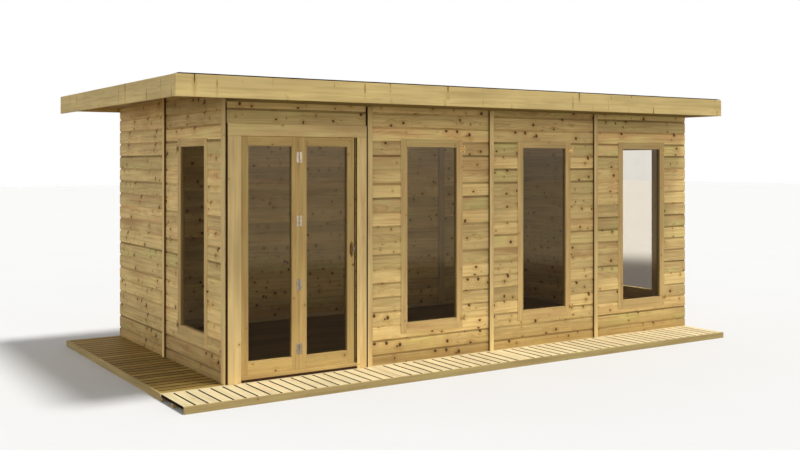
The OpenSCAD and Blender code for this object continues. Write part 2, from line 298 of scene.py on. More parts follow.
def pine_group():
    n, g, out = new_group("pine grain", "ShaderNodeTree", (
        ("Grain", "Vector"), ("Tone", "Float", 0.5), ("Pale", "Color"), ("Ring", "Color"),
        ("Knot", "Color"), ("Knot Size", "Float", 0.011), ("Knots Per Metre", "Float", 7.0),
        ("Knot Along", "Float", 0.85), ("Knot Across", "Float", 1.0),
        ("Ring Spacing", "Float", 0.005), ("Ring Strength", "Float", 0.5),
        ("Tone Spread", "Float", 0.3), ("Cast", "Float", 0.5), ("Joint Dirt", "Float", 0.0),
        ("Streaks", "Float", 1.5)),
        (("Color", "Color"), ("Roughness", "Float"), ("Height", "Float")))
    own = n.rgb(n.place("ShaderNodeTexWhiteNoise", {"W": n.times(g["Tone"], 731.0)},
        noise_dimensions="1D").outputs["Color"])
    along, through, across = n.xyz(g["Grain"])
    flat = n.packed(along, n.times(through, 0.15), across)

    # knots, one to a cell, each with its own size and width
    cells = n.cells(flat, g["Knots Per Metre"], 0.95)
    middle, chance = n.xyz(cells["Position"]), n.rgb(cells["Color"])
    off_x, off_z = n.minus(along, middle[0]), n.minus(across, middle[2])
    far_x = n.times(off_x, g["Knot Along"])
    far_z = n.times(n.times(off_z, g["Knot Across"]), n.scaled(chance[1], 0.7, 0.5))
    far = n.times(n.scaled(n.noise(flat, 90.0, 1.0), 0.5, 0.75), n.length(far_x, far_z))
    radius = n.times(g["Knot Size"], n.place("ShaderNodeMapRange", {"Value": chance[0],
        "From Min": n.scaled(own[2], 0.45, 0.08)}).outputs[0])
    reach = n.scaled(radius, KNOT_REACH, 0.0002)
    knot = n.ramp(far, n.times(radius, KNOT_CORE), reach, 1.0, 0.0)
    pins = n.cells(flat, n.times(g["Knots Per Metre"], PIN_SHARE))
    pin = n.times(n.ramp(pins["Distance"], 0.03, 0.075, 1.0, 0.0),
        n.ramp(n.rgb(pins["Color"])[0], 0.80, 0.84))
    share = n.math("DIVIDE", far, n.times(reach, 2.6))
    halo = n.math("POWER", EULER, n.times(n.times(share, share), -1.0))
    pulled = n.minus(across, n.times(off_z, n.times(halo, 0.85)))

    # growth rings round a pith that lies beside the board and drifts along it
    sway = n.noise(flat, 1.0, 2.0, (1.1, 1.0, 5.0))
    pith_z = n.minus(pulled, n.scaled(own[0], PITH_SIDE, -PITH_SIDE / 2))
    drift = n.times(along, n.scaled(own[2], 0.04, -0.02))
    pith_y = n.plus(n.scaled(own[1], PITH_DEPTH, 0.02),
        n.plus(drift, n.scaled(sway, PITH_DEPTH, through)))
    ring = n.math("FRACT", n.math("DIVIDE", n.length(pith_z, pith_y), g["Ring Spacing"]))
    late = n.times(n.math("POWER", ring, 2.5), n.ramp(ring, 0.93, 1.0, 1.0, 0.0))

    # fibres, streaks and patches, ever wider
    lined = n.packed(along, through, pulled)
    fibre = n.noise(lined, 1.0, 3.0, (3.0, 40.0, 240.0), 0.6)
    streak = n.noise(lined, 1.0, 2.0, (1.7, 8.0, 48.0))
    patch = n.noise(lined, 1.0, 2.0, (2.1, 3.0, 9.0))
    amount = n.times(late, g["Ring Strength"])
    amount = n.scaled(n.minus(fibre, 0.5), 0.45, amount)
    amount = n.scaled(n.minus(streak, 0.46), g["Streaks"], amount)
    colour = n.blend(n.place("ShaderNodeClamp", [amount]).outputs[0], g["Pale"], g["Ring"])

    # the casts of the treatment, and each board's own brightness
    green = n.times(n.ramp(patch, 0.42, 0.72), n.ramp(own[1], 0.35, 1.0))
    colour = n.blend(n.times(green, g["Cast"]), colour, GREEN, "MULTIPLY")
    pink = n.times(n.ramp(patch, 0.60, 0.38), n.ramp(own[2], 0.45, 1.0))
    colour = n.blend(n.times(pink, g["Cast"]), colour, PINK, "MULTIPLY")
    bright = n.plus(1.0, n.times(n.minus(own[0], 0.5), g["Tone Spread"]))
    bright = n.scaled(n.minus(patch, 0.5), 0.5, bright)
    colour = n.vector("MULTIPLY", colour, n.packed(bright, bright, bright))

    # resin round a knot, the knots, and painted shade deep in the scoop of a joint
    halo = n.times(halo, n.math("GREATER_THAN", radius, 0.0005))
    colour = n.blend(n.times(halo, 0.55), colour, RESIN, "MULTIPLY")
    colour = n.blend(n.times(knot, 0.92), colour, g["Knot"])
    colour = n.blend(n.times(pin, 0.8), colour, g["Knot"])
    deep = n.times(n.ramp(through, -0.0070, -0.0010), n.ramp(through, 0.0052, 0.0068, 1.0, 0.0))
    deep = n.times(n.times(deep, n.scaled(own[1], 1.2, -0.1)), g["Joint Dirt"])
    colour = n.blend(n.place("ShaderNodeClamp", [deep]).outputs[0], colour, SCOOP_SHADE, "MULTIPLY")
    n.feed(out["Color"], colour)
    n.feed(out["Roughness"], n.scaled(fibre, 0.16, 0.56))
    height = n.scaled(late, 0.35, n.times(fibre, 0.65))
    n.feed(out["Height"], n.minus(height, n.times(knot, 0.4)))
    return n.tree


PINE = pine_group()
print("pine group", len(PINE.nodes), "nodes")

# %% [markdown]
# ## One treated-pine material for each use
# The boards of the walls, the planed trim, the roof edge, the deck and the framing are the
# same wood with different knots, rings and painted joint shade, so each material places the
# same group with its own values. A `shade` attribute marks narrow edges that get painted
# shade, and the foot of a wall is painted darker as shade.

# %% Pine materials
# the colour of the painted shade on narrow edges that lie in shadow or in gaps
EDGE_SHADE = (0.16, 0.11, 0.07)
KNOT = (0.075, 0.034, 0.010)
# the colour of the painted shade at the foot of a wall
FOOT_SHADE_TINT = (0.50, 0.43, 0.32)


def pine_material(name, pale, ring, edge=EDGE_SHADE, foot_shade=0.0, **values):
    """Pine with its own colours, painted shade on marked edges, and painted shade at the foot of a
    wall if asked.
    """
    def surface(n):
        def own(label):
            return n.place("ShaderNodeAttribute", attribute_name=label).outputs

        wood = n.place("ShaderNodeGroup", {}, node_tree=PINE)
        for label, colour in (("Pale", pale), ("Ring", ring), ("Knot", KNOT)):
            n.feed(wood.inputs[label], (*colour, 1))
        for label, value in values.items():
            n.feed(wood.inputs[label.replace("_", " ")], value)
        n.feed(wood.inputs["Grain"], own("grain")["Vector"])
        n.feed(wood.inputs["Tone"], own("tone")["Fac"])
        # edges marked by the shade attribute get painted shade
        shaded_colour = n.blend(own("shade")["Fac"], wood.outputs["Color"], edge, "MULTIPLY")
        # the foot of a wall is painted darker, as shade
        if foot_shade:
            where = n.here()
            height = n.scaled(n.noise(where, 9.0, 3.0), -0.10, n.xyz(where)[2])
            shaded_colour = n.blend(n.ramp(height, -0.02, 0.30, foot_shade, 0.0), shaded_colour, FOOT_SHADE_TINT, "MULTIPLY")
        return n.skin({"Base Color": shaded_colour, "Roughness": wood.outputs["Roughness"],
            "Normal": n.bump(wood.outputs["Height"], 0.35, 0.0015), "Specular IOR Level": 0.35})

    return new_material(name, surface)


# the boarding gets painted shade at its foot and deep in the scoop of each joint
boarding_pine = pine_material("boarding pine", (0.84, 0.63, 0.272), (0.50, 0.325, 0.10), foot_shade=0.85,
    Knot_Size=0.0135, Knots_Per_Metre=8.5, Ring_Strength=0.50, Tone_Spread=0.38, Cast=0.62,
    Joint_Dirt=0.65, Streaks=1.7)
trim_pine = pine_material("planed trim pine", (0.87, 0.65, 0.295), (0.60, 0.41, 0.145),
    Knot_Size=0.007, Knots_Per_Metre=4.0, Ring_Strength=0.30, Tone_Spread=0.16, Cast=0.40)
fascia_pine = pine_material("roof edge pine", (0.72, 0.555, 0.235), (0.48, 0.335, 0.105),
    Knot_Size=0.013, Knots_Per_Metre=4.4, Knot_Along=2.5, Knot_Across=0.26, Ring_Strength=0.32,
    Ring_Spacing=0.007, Tone_Spread=0.10, Cast=0.45)
joinery_pine = pine_material("joinery pine", (0.70, 0.50, 0.21), (0.47, 0.30, 0.10),
    Knot_Size=0.008, Knots_Per_Metre=6.0, Ring_Strength=0.30, Tone_Spread=0.20, Cast=0.45)
# the door pine is darker than the window joinery: painted shade of the recessed door
door_pine = pine_material("door pine", (0.62, 0.44, 0.165), (0.40, 0.25, 0.075),
    Knot_Size=0.008, Knots_Per_Metre=7.0, Ring_Strength=0.30, Tone_Spread=0.20, Cast=0.45)
# the deck pine paints its board sides near black, as the shade in the gaps
deck_pine = pine_material("deck pine", (0.81, 0.69, 0.42), (0.63, 0.50, 0.26),
    edge=(0.02, 0.012, 0.006), Knot_Size=0.006, Knots_Per_Metre=5.0, Ring_Strength=0.30,
    Tone_Spread=0.16, Cast=0.25)
# the side deck is the deck wood made darker, as painted shade of the building and the roof over it
shaded_side_deck_pine = pine_material("side deck pine in painted shade", (0.41, 0.275, 0.070), (0.245, 0.15, 0.034),
    edge=(0.05, 0.035, 0.02), Knot_Size=0.009, Knots_Per_Metre=7.0, Ring_Strength=0.45,
    Tone_Spread=0.45, Cast=0.40)
deck_edge_pine = pine_material("deck edge pine", (0.52, 0.39, 0.165), (0.33, 0.23, 0.08),
    Knot_Size=0.007, Knots_Per_Metre=5.0, Ring_Strength=0.35, Tone_Spread=0.15, Cast=0.30)
frame_pine = pine_material("framing pine", (0.56, 0.42, 0.22), (0.38, 0.25, 0.10),
    Knot_Size=0.009, Knots_Per_Metre=5.0, Ring_Strength=0.40, Tone_Spread=0.25, Cast=0.4)
# the room's floor is painted dark, as the shade inside the room
floor_pine = pine_material("floor pine", (0.20, 0.125, 0.052), (0.10, 0.06, 0.025),
    Knot_Size=0.010, Knots_Per_Metre=6.0, Ring_Strength=0.40, Tone_Spread=0.30, Cast=0.3)
# the soffit is painted dark, as the shade under the roof's overhang
soffit_pine = pine_material("soffit pine", (0.29, 0.205, 0.056), (0.19, 0.125, 0.03),
    edge=(0.08, 0.06, 0.04), Knot_Size=0.007, Knots_Per_Metre=4.0, Ring_Strength=0.30,
    Tone_Spread=0.16, Cast=0.40)
# a dark brown batten that stands in for the shade in narrow gaps
gap_shade_pine = pine_material("batten of painted gap shade", (0.50, 0.27, 0.12), (0.30, 0.15, 0.06),
    edge=(0.10, 0.06, 0.03))
print("pine materials", 12)

# %% [markdown]
# ## Metal, roofing felt and glass
# The fittings are brass and bright zinc with small scratches and duller patches. The roofing
# felt is covered with mineral chips. The glass bends light as real glass does, and lets the
# lamps' light through, so that the room behind it is lit.

# %% Fitting metals
def metal_material(name, bright, dull, roughness):
    def surface(n):
        cloud = n.noise(n.here(), 60.0, 4.0)
        scratch = n.noise(n.here(), 1.0, 2.0, (900.0, 900.0, 70.0))
        return n.skin({"Base Color": n.blend(n.ramp(cloud, 0.45, 0.75), bright, dull),
            "Roughness": n.scaled(cloud, 0.22, roughness - 0.05), "Metallic": 1.0,
            "Normal": n.bump(scratch, 0.15, 0.0004)})

    return new_material(name, surface)


brass = metal_material("lacquered brass", (0.92, 0.68, 0.30), (0.30, 0.16, 0.05), 0.34)
old_brass = metal_material("browned brass", (0.34, 0.19, 0.085), (0.16, 0.08, 0.03), 0.34)
zinc = metal_material("bright zinc", (0.78, 0.74, 0.71), (0.45, 0.42, 0.40), 0.30)
old_zinc = metal_material("dulled zinc", (0.20, 0.15, 0.10), (0.08, 0.06, 0.04), 0.50)
print("metals", 4)

# %% Roofing felt
def felt_surface(n):
    chips = n.cells(n.here(), 420.0)
    chip = n.rgb(chips["Color"])[0]
    colour = n.blend(chip, (0.022, 0.020, 0.018), (0.105, 0.096, 0.088))
    worn = n.ramp(n.noise(n.here(), 2.5, 5.0), 0.35, 0.7)
    return n.skin({"Base Color": n.blend(worn, colour, (0.80, 0.74, 0.66), "MULTIPLY"),
        "Roughness": n.scaled(chip, 0.12, 0.82), "Normal": n.bump(chips["Distance"], 0.6, 0.0012),
        "Specular IOR Level": 0.3})


felt = new_material("mineral felt", felt_surface)
print("felt ready")

# %% Window glass
def glass_surface(n):
    """Glass to the eye, and a clear tinted sheet to the rays that carry the lamps' light."""
    streak = n.noise(n.here(), 1.0, 3.0, (5.0, 5.0, 1.6))
    rough = n.place("ShaderNodeMapRange", {"Value": streak, "From Min": 0.45, "From Max": 0.85,
        "To Min": 0.0, "To Max": 0.05}).outputs[0]
    pane = n.skin({"Base Color": n.blend(streak, (0.93, 0.915, 0.88), (0.90, 0.88, 0.84)),
        "Roughness": rough, "Transmission Weight": 1.0, "IOR": 1.50})
    clear = n.place("ShaderNodeBsdfTransparent", [(0.88, 0.86, 0.82, 1)]).outputs[0]
    lamp = n.place("ShaderNodeLightPath").outputs["Is Shadow Ray"]
    return n.place("ShaderNodeMixShader", [lamp, pane, clear]).outputs[0]


glass = new_material("tinted glass", glass_surface)
for node in ("window_glass", "door_glass"):
    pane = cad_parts[node]
    pane.data.materials.clear()
    pane.data.materials.append(glass)
    print(node, "has", len(pane.material_slots), "material")

# %% [markdown]
# ## A board
# A planed board has slightly rounded arrises, which catch the light, so each board is a box
# with bevelled edges. `Timber` gathers boards into one mesh and writes their `grain`, `tone`
# and `shade` as it goes. `along` is the axis that the grain runs along.

# %% Timber, gathered board by board
class Timber:
    def __init__(self, seed):
        self.mesh = bmesh.new()
        self.grain = self.mesh.verts.layers.float_vector.new("grain")
        self.tone = self.mesh.verts.layers.float.new("tone")
        self.shade = self.mesh.verts.layers.float.new("shade")
        self.chance = random.Random(seed)

    def board(self, low, high, along, ease=0.0015, dark=(), bend=None, depth=1.0):
        """A board between two corners. dark names the faces that get painted shade, such as "-X",
        and depth how dark they are.
        """
        low, high = Vector(low), Vector(high)
        size, middle = high - low, (high + low) / 2
        one = bmesh.new()
        bmesh.ops.create_cube(one, size=1.0)
        for v in one.verts:
            v.co = Vector(a * b for a, b in zip(v.co, size)) + middle
        ease = min(ease, min(size) * 0.3)
        bmesh.ops.bevel(one, geom=one.edges[:], offset=ease, segments=2, profile=0.5,
            affect="EDGES")
        a = "XYZ".index(along)
        across, through = sorted((i for i in range(3) if i != a), key=lambda i: -size[i])
        start, own = self.chance.uniform(0, 9), self.chance.random()
        made = {}
        for v in one.verts:
            p = v.co - middle
            new = self.mesh.verts.new(bend(v.co) if bend else v.co)
            new[self.grain] = Vector((p[a] + start, p[through], p[across]))
            new[self.tone] = own
            # faces named in dark get painted shade
            for side in dark:
                i, sign = "XYZ".index(side[1]), 1 if side[0] == "+" else -1
                if (v.co[i] - middle[i]) * sign > size[i] / 2 - ease * 0.7:
                    new[self.shade] = depth
            made[v] = new
        for f in one.faces:
            self.mesh.faces.new([made[v] for v in f.verts])
        one.free()

    def piece(self, name, material, slot, *nodes):
        """Turns the boards into one piece that stands for these nodes."""
        self.mesh.normal_update()
        mesh = mesh_from(self.mesh, name)
        return keep(name, mesh, material, slot, *nodes)


def keep(name, mesh, material, slot, *nodes):
    """A finished mesh becomes a piece on the root body."""
    piece = linked(name, mesh)
    if material:
        mesh.materials.clear()
        mesh.materials.append(material)
    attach(piece, "root")
    if nodes:
        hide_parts(*nodes)
    print(name, len(mesh.polygons), "faces")
    return piece


print("timber ready")

# %% [markdown]
# ## Rows of boards, by Geometry Nodes
# Walls, deck, floor and roof are all one board repeated at a fixed pitch, so one tree makes
# them: it copies a board along a line of points, gives every copy a tone and a start along
# the grain of its own, and makes the copies real. For the walls it also trims the rows to
# the outline of the panel and cuts out the windows, as a joiner does after nailing up.

# %% The tree for rows of boards
def rows_tree(trimmed):
    n, g, out = new_group("rows of boards", "GeometryNodeTree", (
        ("Geometry", "Geometry"), ("Count", "Int"), ("Pitch", "Vector"), ("Middle", "Vector"),
        ("Seed", "Int"), ("Outline", "Object"), ("Openings", "Object"), ("Wood", "Material")),
        (("Geometry", "Geometry"),))

    def store(flow, label, value, domain, kind="FLOAT"):
        return n.place("GeometryNodeStoreNamedAttribute", {"Geometry": flow, "Name": label,
            "Value": value}, data_type=kind, domain=domain).outputs[0]

    line = n.place("GeometryNodeMeshLine", {"Count": g["Count"], "Offset": g["Pitch"]},
        mode="OFFSET")
    row = n.place("GeometryNodeInputIndex").outputs[0]
    flow = n.place("GeometryNodeInstanceOnPoints",
        {"Points": line.outputs[0], "Instance": g["Geometry"]}).outputs[0]
    for label, high, step in (("own_tone", 1.0, 0), ("own_start", 9.0, 1)):
        chance = n.place("FunctionNodeRandomValue", {2: 0.0, 3: high,
            "Seed": n.plus(g["Seed"], step)}, data_type="FLOAT")
        flow = store(flow, label, chance.outputs[1], "INSTANCE")
    flow = store(flow, "own_row", row, "INSTANCE")
    flow = n.place("GeometryNodeRealizeInstances", [flow]).outputs[0]
    for label in ("tone", "start", "row"):
        flow = store(flow, "face_" + label, n.named("own_" + label), "FACE")
    if trimmed:
        for label, operation in (("Outline", "INTERSECT"), ("Openings", "DIFFERENCE")):
            cutter = n.place("GeometryNodeObjectInfo", {"Object": g[label]}).outputs["Geometry"]
            cut = n.place("GeometryNodeMeshBoolean", operation=operation, solver="EXACT")
            n.feed(cut.inputs[1 if operation == "INTERSECT" else 0], flow)
            n.feed(cut.inputs[1], cutter)
            flow = cut.outputs[0]
    down = n.place("ShaderNodeVectorMath", {0: g["Pitch"], "Scale": n.named("face_row")},
        operation="SCALE").outputs[0]
    where = n.vector("SUBTRACT", n.place("GeometryNodeInputPosition").outputs[0], down)
    where = n.vector("SUBTRACT", where, g["Middle"])
    where = n.vector("ADD", where, n.packed(n.named("face_start")))
    flow = store(flow, "grain", where, "CORNER", "FLOAT_VECTOR")
    flow = store(flow, "tone", n.named("face_tone"), "FACE")
    for label in ("own_tone", "own_start", "own_row", "face_tone", "face_start", "face_row"):
        flow = n.place("GeometryNodeRemoveAttribute", {"Geometry": flow, "Name": label}).outputs[0]
    n.feed(out[0], n.place("GeometryNodeSetMaterial", {"Geometry": flow,
        "Material": g["Wood"]}).outputs[0])
    return n.tree


PLAIN_ROWS, TRIMMED_ROWS = rows_tree(False), rows_tree(True)


def run_tree(tree, mesh, values):
    """The plain mesh that a tree makes from a host mesh, with its inputs set by identifier."""
    host = linked("host", mesh)
    modifier = host.modifiers.new("rule", "NODES")
    modifier.node_group = tree
    for item in tree.interface.items_tree:
        if item.in_out == "INPUT" and item.name in values:
            modifier[item.identifier] = values[item.name]
    bpy.context.view_layer.update()
    graph = bpy.context.evaluated_depsgraph_get()
    made = bpy.data.meshes.new_from_object(host.evaluated_get(graph), preserve_all_data_layers=True,
        depsgraph=graph)
    host.modifiers.remove(modifier)
    bpy.data.objects.remove(host)
    return made


print("rows tree", len(TRIMMED_ROWS.nodes), "nodes")

# %% [markdown]
# ## Shiplap
# A shiplap board is 112 mm to the next one and 16 mm thick. Its top is scooped out to a
# tongue, and its foot is rebated to drop over the tongue of the board below, which leaves
# the curved shadow line of every joint. The board is drawn in section and drawn out.

# %% One shiplap board
ROW = 0.112
FIRST_ROW = 0.022


def shiplap_board(length, left):
    section = [(0.0085, 0.0), (0.0012, 0.0), (0.0, 0.0012), (0.0, 0.0925)]
    for i in range(1, 6):
        turn = i / 5 * math.pi / 2
        section.append((0.0088 * math.sin(turn), 0.1105 - 0.018 * math.cos(turn)))
    section += [(0.0088, 0.1172), (0.0158, 0.1172), (0.0158, 0.0062), (0.0085, 0.0062)]
    mesh = bpy.data.meshes.new("shiplap")
    n = len(section)
    points = [(x, y, z) for x in (left, left + length) for y, z in section]
    faces = [(i, i + n, (i + 1) % n + n, (i + 1) % n) for i in range(n)]
    faces += [tuple(range(n)), tuple(range(2 * n - 1, n - 1, -1))]
    mesh.from_pydata(points, [], faces)
    mesh.validate()
    solid = bmesh.new()
    solid.from_mesh(mesh)
    bmesh.ops.recalc_face_normals(solid, faces=solid.faces)
    solid.to_mesh(mesh)
    solid.free()
    return mesh


print("shiplap section", len(shiplap_board(1, 0).vertices) // 2, "points")

# %% [markdown]
# ## Walls
# Each wall is worked on lying in its own plane: x along the wall, y into it, z up. Four
# turns put the walls in place. The panel's outline and openings come from the design.

# %% Where the four walls stand
def wall_place(name):
    """Turns wall coordinates into the pod's: x runs along the wall with the outside at y = 0."""
    start = {"front": (BODY_LEFT, BODY_FRONT, 0), "left": (BODY_LEFT, BODY_BACK, 0),
        "back": (BODY_RIGHT, BODY_BACK, 0), "right": (BODY_RIGHT, BODY_FRONT, 0)}[name]
    turn = {"front": 0, "left": -90, "back": 180, "right": 90}[name]
    return Matrix.Translation(start) @ Matrix.Rotation(math.radians(turn), 4, "Z")


def on_wall(wall, *nodes):
    """The box of some nodes in the coordinates of a wall."""
    back = wall_place(wall).inverted()
    ends = [back @ Vector(c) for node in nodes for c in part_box(node)]
    return (Vector(map(min, *ends)) if len(ends) > 1 else ends[0], Vector(map(max, *ends)))


def top_ends(wall, node):
    """How high a panel is at its two ends, as its top may follow the fall of the roof."""
    back = wall_place(wall).inverted()
    points = [back @ v.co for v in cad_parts[node].data.vertices]
    left, right = min(p.x for p in points), max(p.x for p in points)
    return [max(p.z for p in points if abs(p.x - x) < 0.002) for x in (left, right)]


def solid_outline(name, left, right, foot, top_left, top_right):
    """A closed block that trims boards, its top sloping from one end to the other."""
    points = [(x, y, z) for y in (-0.05, 0.10)
        for x, z in ((left, foot), (right, foot), (right, top_right), (left, top_left))]
    faces = [(0, 1, 2, 3), (7, 6, 5, 4), (0, 4, 5, 1), (1, 5, 6, 2), (2, 6, 7, 3), (3, 7, 4, 0)]
    mesh = bpy.data.meshes.new(name)
    mesh.from_pydata(points, [], faces)
    block = linked(name, mesh)
    return block


print("left wall is", round(on_wall("left", "left_panel_back", "left_panel_front")[1].x, 3), "long")

# %% [markdown]
# ## Boarding and framing of each panel
# The boards are nailed to a frame of 28 by 35 mm battens: a rail at the foot and the head,
# a post at each end, and a trimmer beside each opening. Both are seen from inside.

# %% Panels
TRIM_LEFT, TRIM_RIGHT = islands("door_side_trims")
BATTEN = 0.035                              # the width of a batten
PLAY = 0.0005                               # what is left between timbers that meet


def panel(wall, nodes, opening, seed):
    """The boards and the frame of one panel. opening is the node that fills its hole."""
    low, high = on_wall(wall, *nodes)
    tops = top_ends(wall, nodes[0]) if wall in ("left", "right") else [high.z, high.z]
    gap = 0.0006
    outline = solid_outline("outline", low.x + gap, high.x - gap, low.z, *tops)
    if opening:
        hole_low, hole_high = on_wall(wall, *opening)
        if "door_sill" in opening:
            hole_high.x = TRIM_RIGHT[0].x - wall_place(wall).translation.x
    else:
        hole_low, hole_high = Vector((high.x + 1, 0, 0)), Vector((high.x + 2, 0, 1))
    openings = solid_outline("openings", hole_low.x - PLAY, hole_high.x + PLAY,
        hole_low.z - PLAY, hole_high.z + PLAY, hole_high.z + PLAY)
    count = math.ceil((max(tops) - FIRST_ROW) / ROW)
    host = shiplap_board(high.x - low.x, low.x)
    host.transform(Matrix.Translation((0, 0, FIRST_ROW)))
    boards = run_tree(TRIMMED_ROWS, host, {"Count": count, "Pitch": (0, 0, ROW), "Seed": seed,
        "Middle": (low.x, 0.008, FIRST_ROW + ROW / 2), "Outline": outline, "Openings": openings,
        "Wood": boarding_pine})
    boards.transform(wall_place(wall))
    for cutter in (outline, openings):
        bpy.data.objects.remove(cutter)
    keep(nodes[0] + "_boards", boards, None, "wall_boarding", *nodes)

    inside, deep, wide, e = BOARDING_T + 0.0002, WALL_T, BATTEN, PLAY
    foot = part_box("floor")[1].z
    turned = wall_place(wall)
    battens = Timber(seed + 500)

    def fall(p):
        """Tops follow the slope, then the batten is put on its wall."""
        share = (p.x - low.x) / (high.x - low.x)
        drop = between(tops, share) - max(tops)
        return turned @ Vector((p.x, p.y, p.z + (drop if p.z > max(tops) - 0.06 else 0)))

    spans = [(low.x + e, high.x - e)]
    is_door = opening and "door_sill" in opening
    if is_door:
        hole_high.x = on_wall(wall, "door_leaf_right")[1].x
        spans = [(low.x + e, hole_low.x - e), (hole_high.x + e, high.x - e)]
    for a, b in spans:
        battens.board((a, inside, foot + e), (b, deep, foot + wide), "X", bend=fall)
    battens.board((low.x + e, inside, max(tops) - wide), (high.x - e, deep, max(tops) - e), "X",
        bend=fall)
    posts = [(low.x + e, low.x + wide), (high.x - wide, high.x - e)]
    if opening:
        posts += [(hole_low.x - wide, hole_low.x - e), (hole_high.x + e, hole_high.x + wide)]
        if is_door:
            posts = [posts[0], (hole_low.x - wide, hole_low.x - e),
                (hole_high.x + e, hole_high.x + wide), posts[1]]
        for z in ([] if is_door else [hole_low.z - wide - e]) + [hole_high.z + 2 * e]:
            battens.board((hole_low.x + e, inside, z), (hole_high.x - e, deep, z + wide - e), "X",
                bend=fall)
    for a, b in posts:
        battens.board((a, inside, foot + wide + e), (b, deep, max(tops) - wide - e), "Z", bend=fall)
    battens.piece(nodes[0] + "_frame", frame_pine, "wall_boarding", *nodes)


panel("front", ["over_door_panel", "door_post_left", "door_post_right"],
    ["door_leaf_left", "door_leaf_right", "door_sill"], 11)
for number in (2, 3, 4):
    panel("front", [f"front_panel_{number}"], [f"window_frame_front_{number}"], 11 + number)
panel("left", ["left_panel_front"], ["window_frame_left"], 21)
panel("left", ["left_panel_back"], None, 22)
panel("right", ["right_panel_front"], ["window_frame_right"], 31)
panel("right", ["right_panel_back"], None, 32)
for number in (1, 2, 3, 4):
    panel("back", [f"back_panel_{number}"], None, 40 + number)

# %% [markdown]
# ## Window frames and door leaves
# A casement is two upright stiles with a rail between them at the top and the bottom. The
# glass sits in a groove, so the inner edge of each piece is in two lips with the pane
# between. Most lips' faces towards the opening get painted shade.

# %% Glazed frames
def glazed_frame(timber, low, high, stile, top, bottom, pane, turned):
    """Adds one glazed frame, in wall coordinates. pane is the glass's front and back."""
    lip, joint = 0.008, 0.0003

    def put(a, b, along, dark=(), ease=0.002):
        timber.board(a, b, along, ease, dark, bend=lambda p: turned @ p, depth=0.62)

    x0, x1, z0, z1 = low.x, high.x, low.z, high.z
    y0, y1 = low.y, high.y
    put((x0, y0, z0), (x0 + stile - lip, y1, z1), "Z")
    put((x1 - stile + lip, y0, z0), (x1, y1, z1), "Z")
    inner_x = (x0 + stile - lip + joint, x1 - stile + lip - joint)
    put((inner_x[0], y0, z1 - top + lip), (inner_x[1], y1, z1), "X")
    put((inner_x[0], y0, z0), (inner_x[1], y1, z0 + bottom - lip), "X")
    for front, back in ((y0 + 0.0015, pane[0] - 0.0003), (pane[1] + 0.0003, y1 - 0.001)):
        left, right = (x0 + stile - lip + joint, x0 + stile), (x1 - stile, x1 - stile + lip - joint)
        head, foot = (z1 - top, z1 - top + lip - joint), (z0 + bottom - lip + joint, z0 + bottom)
        # the lips' faces towards the opening get painted shade, at depth 0.62
        put((left[0], front, foot[1]), (left[1], back, head[0]), "Z", ("+X",), 0.001)
        put((right[0], front, foot[1]), (right[1], back, head[0]), "Z", ("-X",), 0.001)
        put((inner_x[0], front, head[0]), (inner_x[1], back, head[1]), "X", ("-Z",), 0.001)
        put((inner_x[0], front, foot[0]), (inner_x[1], back, foot[1]), "X", (), 0.001)


PANE_HALF = 0.002                           # half the thickness of the glass
CASEMENT_WOOD = (0.062, 0.060, 0.082)       # stile, top rail and bottom rail
LEAF_WOOD = (0.064, 0.072, 0.098)


def glazed(seed, wall, node, wood):
    """The timber round one node's glass."""
    low, high = on_wall(wall, node)
    middle = (low.y + high.y) / 2
    timber = Timber(seed)
    glazed_frame(timber, low, high, *wood, (middle - PANE_HALF, middle + PANE_HALF),
        wall_place(wall))
    return timber


WINDOWS = (("front", "window_frame_front_2"), ("front", "window_frame_front_3"),
    ("front", "window_frame_front_4"), ("left", "window_frame_left"),
    ("right", "window_frame_right"))
for number, (wall, node) in enumerate(WINDOWS):
    glazed(60 + number, wall, node, CASEMENT_WOOD).piece(
        node.replace("window_frame", "casement"), joinery_pine, "window_joinery", node)

# %% [markdown]
# ## Door
# The door is two narrow leaves that fold on four hinges. It stands on a sill, and planed
# boards trim the doorway, with painted shade on their side edges. The sill is set a little
# above the deck, and the gap under it gets painted shade.

# %% Door leaves, sill and trim
for number, node in enumerate(("door_leaf_left", "door_leaf_right")):
    glazed(70 + number, "front", node, LEAF_WOOD).piece(
        node.replace("door_", "folding_"), door_pine, "door_joinery", node)

sill = Timber(80)
low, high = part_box("door_sill")
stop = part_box("door_leaf_right")[1].x + 0.0005
sill.board(low, (stop, high.y, high.z), "X", 0.004)
sill.board((stop + 0.0002, low.y, low.z), (high.x, BODY_FRONT + BOARDING_T, high.z), "X", 0.003)
sill.piece("sill", door_pine, "door_joinery", "door_sill")

trim = Timber(81)
# the trim's side edges get painted shade
trim.board(*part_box("door_head_trim"), "X", 0.002, ("-X", "+X"))
trim.board(*TRIM_LEFT, "Z", 0.003, ("-X",))
trim.board(*TRIM_RIGHT, "Z", 0.003, ("-X", "+X"))
trim.piece("doorway_trim", trim_pine, "trim_timber", "door_head_trim", "door_side_trims")

# %% [markdown]
# ## Shadow gaps
# Beside the corner, the first strip and the closing edge of the door, a gap is left for the
# timber to swell. A dark brown batten at the back of each is painted shade, so they read as
# dark lines.

